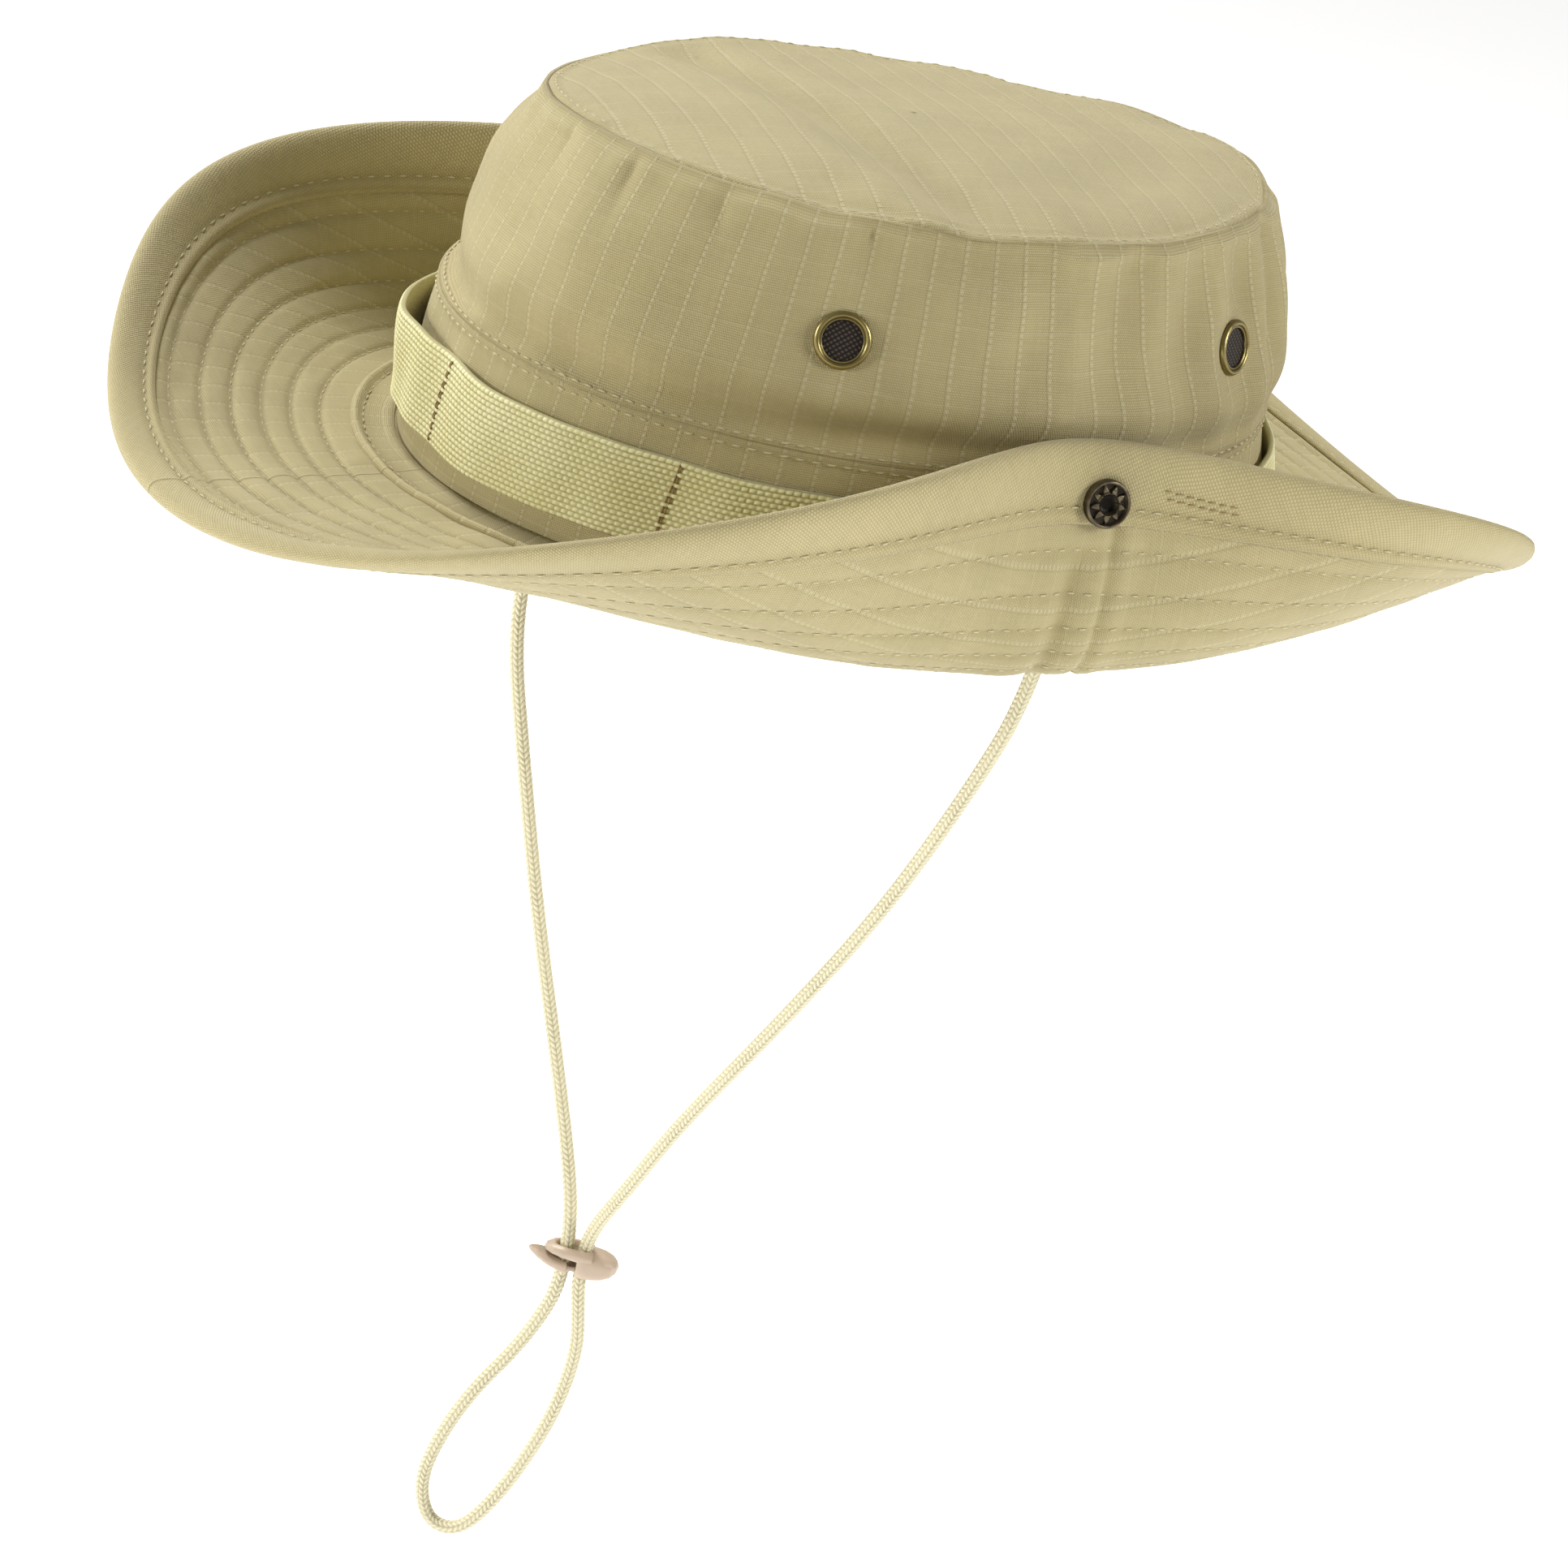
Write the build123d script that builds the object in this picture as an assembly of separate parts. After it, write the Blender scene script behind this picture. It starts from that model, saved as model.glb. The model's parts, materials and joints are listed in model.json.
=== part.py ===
from build123d import *
import os
from math import cos, pi, radians, sin, tan

# Boonie hat with a snapped-up brim, millimetres. +Z is up out of the crown, the wearer looks
# along -Y, the wearer's left is +X, and the origin is the middle of the head opening, where the
# crown meets the brim.

# ---- driving dimensions -------------------------------------------------------------------
BASE_LONG, BASE_WIDE = 102.0, 83.0      # head opening, half lengths front to back and across
TOP_LONG, TOP_WIDE = 84.0, 73.0         # top seam oval, half lengths
TOP_SHIFT = 1.0                         # the top oval sits this far back
CROWN_HEIGHT = 83.0
BULGE_LONG, BULGE_WIDE = 3.5, 4.6       # how far the side wall swells at mid height
DOME = 4.0                              # rise of the top panel above its seam
FABRIC = 1.2                            # rip-stop cloth with its seam allowances
BAND_SEAM = 34.7                        # height of the seam between lower band and side panel
WEBBING_LOW, WEBBING_HIGH = 8.0, 27.5
WEBBING_THICK = 1.4
SWEATBAND_HIGH = 28.0
BRIM_WIDTH = 67.5
BRIM_GAP = 0.15                         # half the space between the two brim plies
BINDING_FROM = 0.86                     # the edge binding covers the brim from here outwards
BINDING_THICK = 0.9
COLLAR_WIDTH = 11.0                     # stitched ring of cloth on the brim at the crown's root
FOLD_X = 90.0                           # each side flap folds about this line
FOLD_GAP = 0.4                          # from the fold line to the cloth on either side
VENT_ANGLES = [-32.0, 32.0, 148.0, 212.0]
VENT_HEIGHT = 59.0
VENT_RIM_R, VENT_HOLE_R, VENT_BARREL_R = 6.15, 4.3, 4.9
SNAP_ANGLE = 3.0
SNAP_AT = 0.90                          # place of the snap between root (0) and edge (1)
SNAP_RING_R, SNAP_BORE_R, SNAP_RIVET_R = 5.3, 2.3, 1.5
SOCKET_LIFT, RING_LIFT = 0.7, 0.45      # flat snap halves stand this far off the curved brim
CORD_D = 3.4
OUT = "parts"


def save(shape, name):
    """Write one named piece."""
    shape.label = name
    export_step(shape, f"{OUT}/{name}.step")


# ---- crown --------------------------------------------------------------------------------
def crown_axes(z):
    """Half length, half width and backward shift of the crown's outer oval at height z."""
    k = z / CROWN_HEIGHT
    swell = 4 * k * (1 - k)
    long_r = BASE_LONG + (TOP_LONG - BASE_LONG) * k + BULGE_LONG * swell
    wide_r = BASE_WIDE + (TOP_WIDE - BASE_WIDE) * k + BULGE_WIDE * swell
    return long_r, wide_r, TOP_SHIFT * k


def crown_point(angle, z, out=0.0):
    long_r, wide_r, shift = crown_axes(z)
    a = radians(angle)
    return Vector((wide_r + out) * cos(a), shift + (long_r + out) * sin(a), z)


def crown_oval(z, out):
    long_r, wide_r, shift = crown_axes(z)
    return Pos(0, shift, z) * Ellipse(wide_r + out, long_r + out)


def crown_block(low, high, out, steps=4):
    """The solid inside the crown's oval, moved out by a distance, between two heights."""
    return loft([crown_oval(low + (high - low) * i / steps, out) for i in range(steps + 1)])


def crown_ring(low, high, outer, inner):
    """A band that follows the crown between two heights and two distances from its surface."""
    return crown_block(low, high, outer) - crown_block(low, high, inner)


def vent_plane(angle):
    """A plane on the crown's wall at a vent, its Z pointing straight out of the cloth."""
    p = crown_point(angle, VENT_HEIGHT)
    up = crown_point(angle, VENT_HEIGHT + 1) - p
    along = crown_point(angle + 1, VENT_HEIGHT) - p
    return Plane(origin=p, x_dir=along, z_dir=along.cross(up))


def top_panel():
    """Domed oval top, a shell of cloth that sits on the side panel's upper edge."""
    rises = [(1.0, 0.0), (0.93, 0.35), (0.78, 0.7), (0.5, 0.93), (0.2, 1.0)]

    def dome(drop):
        ovals = []
        for size, rise in rises:
            disc = Ellipse(TOP_WIDE * size - drop, TOP_LONG * size - drop)
            ovals.append(Pos(0, TOP_SHIFT, CROWN_HEIGHT + DOME * rise - drop) * disc)
        return loft(ovals)

    floor_cut = Pos(0, 0, CROWN_HEIGHT - 10) * Box(400, 400, 20)
    return dome(0) - dome(FABRIC) - floor_cut


def side_panel():
    """Upper side wall with its four vent holes."""
    wall = crown_ring(BAND_SEAM, CROWN_HEIGHT, 0, -FABRIC)
    for angle in VENT_ANGLES:
        wall -= vent_plane(angle) * Cylinder(VENT_BARREL_R + 0.05, 16)
    return wall


def lower_band():
    """Lower side wall, behind the webbing, with a rivet hole at each snap."""
    wall = crown_ring(0, BAND_SEAM, 0, -FABRIC)
    for side in ("left", "right"):
        place = snap_plane(side)
        wall -= place * Pos(0, 0, wall_distance(place)) * Cylinder(SNAP_RIVET_R + 0.05, 8)
    return wall


def build_crown():
    save(top_panel(), "crown_top")
    save(side_panel(), "crown_side_panel")
    save(lower_band(), "crown_lower_band")
    save(crown_ring(0.4, SWEATBAND_HIGH, -FABRIC - 0.1, -FABRIC - 1.3), "sweatband")
    webbing = crown_ring(WEBBING_LOW, WEBBING_HIGH, 0.2 + WEBBING_THICK, 0.2)
    save(webbing, "webbing_band")


def build_vents():
    """Each vent is a flanged eyelet, a washer behind the cloth and a mesh disc between."""
    for number, angle in enumerate(VENT_ANGLES, 1):
        place = vent_plane(angle)
        flange = Pos(0, 0, 0.9) * Cylinder(VENT_RIM_R, 1.0)
        flange = fillet(flange.edges().sort_by(Axis.Z)[-1], 0.45)
        barrel = Pos(0, 0, -0.8) * Cylinder(VENT_BARREL_R, 3.4)
        eyelet = flange + barrel - Cylinder(VENT_HOLE_R, 12)
        save(place * eyelet, f"vent_{number}_eyelet")
        washer = Pos(0, 0, -2.2) * (Cylinder(VENT_RIM_R, 0.5) - Cylinder(VENT_BARREL_R + 0.05, 2))
        save(place * washer, f"vent_{number}_washer")
        mesh = Pos(0, 0, 0.2) * Cylinder(VENT_HOLE_R - 0.03, 0.4)
        save(place * mesh, f"vent_{number}_mesh")


# ---- brim ---------------------------------------------------------------------------------
def brim_root(angle):
    a = radians(angle)
    return Vector(BASE_WIDE * cos(a), BASE_LONG * sin(a), 0)


def brim_edge(angle):
    """The brim's outer edge: long to the front and back, folded up and in at the sides."""
    a = radians(angle)
    reach = 141 - 31 * cos(2 * a) - 14 * cos(4 * a) - 4.5 * cos(6 * a) - 3.5 * sin(a)
    turn = a + radians(3.9 * sin(2 * a) + 2.5 * sin(4 * a))
    rise = 25.5 + 25 * cos(2 * a) - 3.5 * cos(4 * a)
    return Vector(reach * cos(turn), reach * sin(turn), rise)


def brim_centre(angle, t):
    """Mid-surface of the brim: angle round the crown, t from the root (0) to the edge (1)."""
    a = radians(angle)
    out = Vector(cos(a) / BASE_WIDE, sin(a) / BASE_LONG, 0).normalized()
    dip = radians(-18 - 21 * cos(2 * a) - 6 * cos(4 * a))
    root = brim_root(angle)
    bend = root + (out * cos(dip) + Vector(0, 0, sin(dip))) * (0.44 * BRIM_WIDTH)
    return root * (1 - t) ** 2 + bend * (2 * t * (1 - t)) + brim_edge(angle) * t ** 2


def brim_normal(angle, t):
    """Unit normal on the brim's upper face."""
    step_t, step_a = 0.01, 0.5
    along = brim_centre(angle, t + step_t) - brim_centre(angle, t - step_t)
    around = brim_centre(angle + step_a, t) - brim_centre(angle - step_a, t)
    return along.cross(around).normalized()


def brim_point(angle, t, lift):
    return brim_centre(angle, t) + brim_normal(angle, t) * lift


def brim_layer(start, stop, t_from, t_to, low, high):
    """A layer of the brim between two angles: a smooth sheet thickened to its real depth."""
    columns = round((stop - start) / 4.5)
    rows = 8
    grid = []
    for i in range(columns + 1):
        angle = start + (stop - start) * i / columns
        spots = [t_to + (t_from - t_to) * j / rows for j in range(rows + 1)]
        grid.append([brim_point(angle, t, low) for t in spots])
    sheet = Face.make_surface_from_array_of_points(grid, tol=0.01, min_deg=3, max_deg=5)
    return Solid.thicken(sheet, high - low)


def slab(x_low, x_high):
    """A tall box used to trim brim layers along the fold lines."""
    return Pos((x_low + x_high) / 2, 0, 0) * Box(x_high - x_low, 600, 400)


# each sector: its angles, the space that it keeps to, and the angles of its edge binding
MIDDLE = (-FOLD_X + FOLD_GAP, FOLD_X - FOLD_GAP)
SECTORS = {
    "front": (-180, 0, MIDDLE, (-127, -53)),
    "back": (0, 180, MIDDLE, (53, 127)),
    "left": (-63, 63, (FOLD_X + FOLD_GAP, 300), (-52, 52)),
    "right": (117, 243, (-300, -FOLD_X - FOLD_GAP), (128, 232)),
}


def build_brim():
    """Two plies and an edge binding for each of the four sectors, and the stitched collar."""
    low, high = BRIM_GAP, BRIM_GAP + FABRIC
    for name, (start, stop, keep, edge_angles) in SECTORS.items():
        room = slab(*keep)
        save(brim_layer(start, stop, 0.006, 0.98, low, high) & room, f"brim_{name}_upper_ply")
        save(brim_layer(start, stop, 0.006, 0.98, -high, -low) & room, f"brim_{name}_under_ply")
        outer = high + BINDING_THICK
        wrap = brim_layer(*edge_angles, BINDING_FROM, 1.0, -outer, outer)
        inner = high + 0.35
        core = brim_layer(*edge_angles, BINDING_FROM - 0.05, 0.988, -inner, inner)
        save((wrap - core) & room, f"brim_{name}_binding")
    reach = COLLAR_WIDTH / BRIM_WIDTH
    for name, start, stop in (("front", -180, 0), ("back", 0, 180)):
        collar = brim_layer(start, stop, 0.03, reach, high + 0.1, high + 0.8)
        save(collar & slab(-FOLD_X + 1, FOLD_X - 1), f"brim_{name}_collar")


# ---- snaps --------------------------------------------------------------------------------
def snap_plane(side):
    """Plane on the brim's mid-surface at a side's snap, its Z out of the brim's upper face."""
    angle = SNAP_ANGLE if side == "left" else 180 - SNAP_ANGLE
    spot = brim_centre(angle, SNAP_AT)
    toward_edge = brim_centre(angle, SNAP_AT + 0.01) - spot
    return Plane(origin=spot, x_dir=toward_edge, z_dir=brim_normal(angle, SNAP_AT))


def snap_ring(face):
    """Prong ring on the brim's underside: a domed washer with a scalloped recess."""
    ring = Pos(0, 0, -face - 0.75) * Cylinder(SNAP_RING_R, 1.5)
    ring = fillet(ring.edges().sort_by(Axis.Z)[0], 0.5)
    ring -= Pos(0, 0, -face - 1.5) * Cylinder(3.6, 1.0)
    for k in range(8):
        ring -= Rot(0, 0, 45 * k) * Pos(3.9, 0, -face - 1.5) * Cylinder(0.7, 1.0)
    return ring - Cylinder(SNAP_BORE_R, 20)


def snap_socket(face):
    """Socket on the flap's inner face, open towards the crown."""
    socket = Pos(0, 0, face + 1.1) * Cylinder(5.4, 2.2)
    socket = fillet(socket.edges().sort_by(Axis.Z)[-1], 0.6)
    return socket - Pos(0, 0, face + 1.5) * Cylinder(2.6, 1.8)


def wall_distance(place):
    """How far the crown's wall is from a snap plane, along the plane's axis."""
    wall = crown_point(SNAP_ANGLE, place.origin.Z)
    return (abs(place.origin.X) - wall.X) / abs(place.z_dir.X)


def snap_stud(wall, tip):
    """Stud on the crown: a flange against the cloth and a round-nosed post."""
    flange = Pos(0, 0, wall - 1.2) * Cylinder(4.2, 1.0)
    post = Pos(0, 0, (wall - 0.5 + tip) / 2) * Cylinder(2.1, wall - 0.5 - tip)
    post = fillet(post.edges().sort_by(Axis.Z)[0], 0.7)
    return flange + post - Pos(0, 0, wall) * Cylinder(SNAP_RIVET_R + 0.05, 4)


def snap_rivet(wall):
    """Back plate inside the crown, with the rivet that goes through into the stud."""
    plate = Pos(0, 0, wall + FABRIC + 1.1) * Cylinder(4.0, 0.9)
    rivet = Pos(0, 0, wall + 0.4) * Cylinder(SNAP_RIVET_R, 3.2)
    return plate + rivet


def build_snaps():
    """Each side: prong ring and socket on the flap, stud and rivet on the crown."""
    cloth = BRIM_GAP + FABRIC + BINDING_THICK
    for side in ("left", "right"):
        place = snap_plane(side)
        wall = wall_distance(place)
        socket_face = cloth + SOCKET_LIFT
        save(place * snap_ring(cloth + RING_LIFT), f"snap_{side}_prong_ring")
        save(place * snap_socket(socket_face), f"snap_{side}_socket")
        save(place * snap_stud(wall, socket_face + 0.9), f"snap_{side}_stud")
        save(place * snap_rivet(wall), f"snap_{side}_rivet")


# ---- chin cord ----------------------------------------------------------------------------
# One limp braided cord: from its tab inside the right of the crown down through the lock, round
# the loop, up through the lock again and back to its tab inside the left of the crown.
CORD_ROUTE = [
    (-78.2, -14, -1), (-79, -20, -19), (-79.5, -26.5, -42), (-78, -28.5, -70),
    (-72, -21.5, -104), (-65.5, -14, -139), (-58.5, -4.5, -176), (-53, 2.5, -205),
    (-51, 4.7, -220), (-51, 4.7, -234), (-54, 4, -244), (-59.5, 1, -258),
    (-66.5, -4.5, -273.5), (-72, -8, -290), (-75, -9, -304), (-73.5, -5.5, -315),
    (-67.5, 0.5, -315), (-62, 5, -304), (-57, 9, -289), (-52, 12, -271),
    (-49, 12.5, -253), (-48.5, 10, -241), (-48.8, 8.5, -233), (-48.8, 8.5, -220),
    (-34, 7.2, -200), (-18, 8.3, -173), (8, 12, -134), (35, 15, -92),
    (58, 15.5, -50), (72.5, 14.5, -21), (78.2, 12, -1),
]
TAB_HEIGHT, TAB_GAP = 10.0, 2.3         # cloth tab over each cord end, and its space above it
LOCK_AT = (-49.9, 6.6, -227.0)          # middle of the cord lock
LOCK_LENGTH_DIR = (0.52, 0.854, 0)      # the lock's long axis
LOCK_BODY, LOCK_HIGH, LOCK_DEEP = 17.0, 9.4, 9.2


def corner_radii(points):
    """The largest tangent arc that each corner's two runs leave room for."""
    radii = []
    for before, here, after in zip(points, points[1:], points[2:]):
        run_in = Vector(*here) - Vector(*before)
        run_out = Vector(*after) - Vector(*here)
        turn = radians(run_in.get_angle(run_out))
        radii.append(0.45 * min(run_in.length, run_out.length) / tan(turn / 2))
    return radii


def chin_cord():
    radii = corner_radii(CORD_ROUTE)
    path = FilletPolyline(*CORD_ROUTE, radius=radii)
    start = Plane(origin=path @ 0, z_dir=path % 0)
    tube = sweep(start * Circle(CORD_D / 2), path=path)
    print("cord radii", [round(r, 1) for r in radii])
    print("cord length", round(path.length, 1))
    print("cord volume ratio", tube.volume / (path.length * pi * CORD_D ** 2 / 4))
    return tube


def cord_tab(end):
    """Folded cloth tab, sewn inside the sweatband, that holds one end of the cord."""
    x, y, z = end
    inward = 0.6 if x < 0 else -0.6
    tab = Pos(x + inward, y, z + TAB_GAP + TAB_HEIGHT / 2) * Box(2.8, 8.0, TAB_HEIGHT)
    return fillet(tab.edges().filter_by(Axis.Z), 1.2)


def lock_body():
    """Oval barrel with a channel for both strands and a chamber for the button and spring."""
    middle = 2.7
    outer = Pos(middle, 0, 0) * Box(LOCK_BODY, LOCK_DEEP, LOCK_HIGH)
    outer = fillet(outer.edges().filter_by(Axis.Z), 4.4)
    outer = fillet(outer.edges().filter_by(Plane.XY), 2.2)
    chamber = Pos(0.9, 0, 0) * Box(18.4, 6.8, 5.2)
    channel = Pos(0, 0, 0) * Box(8.9, 4.2, 20)
    channel = fillet(channel.edges().filter_by(Axis.Z), 2.0)
    return outer - chamber - channel


def lock_button():
    """Pointed thumb button with two arms round the strands and a bridge behind them."""
    tongue = Pos(-8.75, 0, 0) * Box(5.1, 6.2, 4.6)
    tongue = fillet(tongue.edges().filter_by(Axis.Z).sort_by(Axis.X)[:2], 2.6)
    arms = Pos(-0.2, 0, 0) * (Box(13.0, 6.2, 4.6) - Box(30, 4.4, 10))
    bridge = Pos(5.6, 0, 0) * Box(1.4, 6.2, 4.6)
    return tongue + arms + bridge


def lock_spring():
    """Compression spring between the bridge and the chamber's end."""
    coil = Helix(pitch=1.15, height=2.3, radius=1.7)
    wire = sweep(Plane(origin=coil @ 0, z_dir=coil % 0) * Circle(0.25), path=coil)
    return Pos(7.0, 0, 0) * Rot(0, 90, 0) * wire


def build_cord():
    save(chin_cord(), "chin_cord")
    save(cord_tab(CORD_ROUTE[0]), "cord_tab_right")
    save(cord_tab(CORD_ROUTE[-1]), "cord_tab_left")
    place = Plane(origin=LOCK_AT, x_dir=LOCK_LENGTH_DIR, z_dir=(0, 0, 1))
    save(place * lock_body(), "cord_lock_body")
    save(place * lock_button(), "cord_lock_button")
    save(place * lock_spring(), "cord_lock_spring")


os.makedirs(OUT, exist_ok=True)
build_crown()
build_vents()
build_brim()
build_snaps()
build_cord()
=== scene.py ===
import json
import math

import bpy
import numpy as np
from mathutils import Matrix, Vector

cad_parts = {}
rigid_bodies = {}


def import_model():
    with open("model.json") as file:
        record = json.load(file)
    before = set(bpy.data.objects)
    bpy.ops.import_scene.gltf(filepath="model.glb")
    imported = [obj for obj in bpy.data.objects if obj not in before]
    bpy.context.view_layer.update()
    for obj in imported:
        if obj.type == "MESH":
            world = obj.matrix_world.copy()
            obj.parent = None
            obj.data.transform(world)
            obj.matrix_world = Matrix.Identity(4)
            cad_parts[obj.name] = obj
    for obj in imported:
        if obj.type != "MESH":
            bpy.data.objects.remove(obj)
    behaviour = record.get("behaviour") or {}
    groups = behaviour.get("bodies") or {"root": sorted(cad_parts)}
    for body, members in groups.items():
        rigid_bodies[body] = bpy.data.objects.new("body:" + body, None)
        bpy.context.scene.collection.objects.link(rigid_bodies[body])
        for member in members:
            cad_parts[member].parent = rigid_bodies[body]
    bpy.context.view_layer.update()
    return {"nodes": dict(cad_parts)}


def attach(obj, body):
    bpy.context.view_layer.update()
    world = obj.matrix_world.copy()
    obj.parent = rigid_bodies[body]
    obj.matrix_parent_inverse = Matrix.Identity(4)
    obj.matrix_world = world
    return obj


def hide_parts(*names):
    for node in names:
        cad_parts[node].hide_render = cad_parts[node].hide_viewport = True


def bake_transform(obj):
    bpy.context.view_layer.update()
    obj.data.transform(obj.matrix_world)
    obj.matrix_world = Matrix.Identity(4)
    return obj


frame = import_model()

# Boonie hat. Everything is worked out in millimetres in the row frame (+Z up, -Y forwards, +X the
# wearer's left, origin in the middle of the head opening) and written to the meshes in metres.
MM = 0.001
scene = bpy.context.scene
scene.view_settings.view_transform = "Standard"


# ---- camera ----
CAM_AZ, CAM_EL, CAM_ROLL = 57.07, 22.13, 12.26
CAM_DISTANCE, CAM_LENS = 1337.05, 137.34
CAM_OFFSET = (10.67, 68.17)


def camera_axes():
    az, el, roll = (math.radians(v) for v in (CAM_AZ, CAM_EL, CAM_ROLL))
    back = Vector((math.sin(az) * math.cos(el), -math.cos(az) * math.cos(el), math.sin(el)))
    level = Vector((math.cos(az), math.sin(az), 0))
    up = back.cross(level)
    right = math.cos(roll) * level + math.sin(roll) * up
    return right, -math.sin(roll) * level + math.cos(roll) * up, back


RIGHT, UP, BACK = camera_axes()


def make_camera():
    data = bpy.data.cameras.new("camera")
    data.lens, data.sensor_width = CAM_LENS, 36
    data.clip_end = 50
    cam = bpy.data.objects.new("camera", data)
    scene.collection.objects.link(cam)
    place = Matrix((RIGHT, UP, BACK)).transposed().to_4x4()
    place.translation = (BACK * CAM_DISTANCE - RIGHT * CAM_OFFSET[0] - UP * CAM_OFFSET[1]) * MM
    cam.matrix_world = place
    scene.camera = cam


make_camera()


# ---- small tools ----
def smooth(x):
    x = np.clip(x, 0, 1)
    return x * x * (3 - 2 * x)


def bell(x, width):
    return np.exp(-(x / width) ** 2)


class Noise:
    """Smooth value noise from -1 to 1 on a grid, repeating round the first direction."""

    def __init__(self, seed, cells):
        self.cells = cells
        self.table = np.random.default_rng(seed).uniform(-1, 1, (cells, 64))

    def __call__(self, turn, v):
        u = (turn / (2 * np.pi)) % 1 * self.cells
        v = np.asarray(v) + 20.0
        i, j = np.floor(u).astype(int), np.floor(v).astype(int)
        fu, fv = smooth(u - i), smooth(v - j)
        at = lambda a, b: self.table[(i + a) % self.cells, (j + b) % 64]
        low = at(0, 0) * (1 - fu) + at(1, 0) * fu
        high = at(0, 1) * (1 - fu) + at(1, 1) * fu
        return low * (1 - fv) + high * fv


def grid(a, b):
    return np.meshgrid(a, b, indexing="ij")


def round_turn(count):
    return np.linspace(0, 2 * np.pi, count, endpoint=False)


def outward(th):
    """Unit vectors level and straight out from the middle, at each angle."""
    return np.stack([np.cos(th), np.sin(th), 0 * th], -1)


def travelled(line):
    """Distance along a line of points to each of them."""
    return np.concatenate([[0], np.cumsum(np.linalg.norm(np.diff(line, axis=0), axis=1))])


def unit(v):
    return v / np.maximum(np.linalg.norm(v, axis=-1, keepdims=True), 1e-9)


def grid_mesh(name, P, UV, material, shade=None, wrap_u=False, wrap_v=False, caps=False):
    """A mesh from a grid of points. With a wrap, UV has one more row or column than P."""
    nu, nv = P.shape[:2]
    iu, iv = grid(np.arange(nu if wrap_u else nu - 1), np.arange(nv if wrap_v else nv - 1))
    corners = [(iu, iv), (iu + 1, iv), (iu + 1, iv + 1), (iu, iv + 1)]
    faces = np.stack([(a % nu) * nv + (b % nv) for a, b in corners], -1).reshape(-1, 4)
    uv = None
    if UV is not None:
        uv = np.stack([UV[a, b] for a, b in corners], -2).reshape(-1, 2)
    faces = faces.tolist()
    if caps:
        first, last = list(range(nv))[::-1], [(nu - 1) * nv + k for k in range(nv)]
        faces += [first, last]
        if uv is not None:
            uv = np.concatenate([uv, UV[0, :nv][::-1], UV[-1, :nv]])
    return new_mesh(name, P.reshape(-1, 3), faces, material, uv,
        None if shade is None else shade.reshape(-1))


def new_mesh(name, points, faces, material, uv, shade):
    """A smooth mesh object; points in mm, uv per face corner in mm, shade per point."""
    me = bpy.data.meshes.new(name)
    me.from_pydata((points * MM).tolist(), [], faces)
    me.polygons.foreach_set("use_smooth", np.ones(len(me.polygons), bool))
    if uv is not None:
        layer = me.uv_layers.new(name="cloth")
        layer.data.foreach_set("uv", (uv * MM).astype(np.float32).ravel())
    if shade is not None:
        att = me.attributes.new("shade", "FLOAT", "POINT")
        att.data.foreach_set("value", shade.astype(np.float32))
    me.materials.append(material)
    me.update()
    ob = bpy.data.objects.new(name, me)
    scene.collection.objects.link(ob)
    return ob


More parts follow.
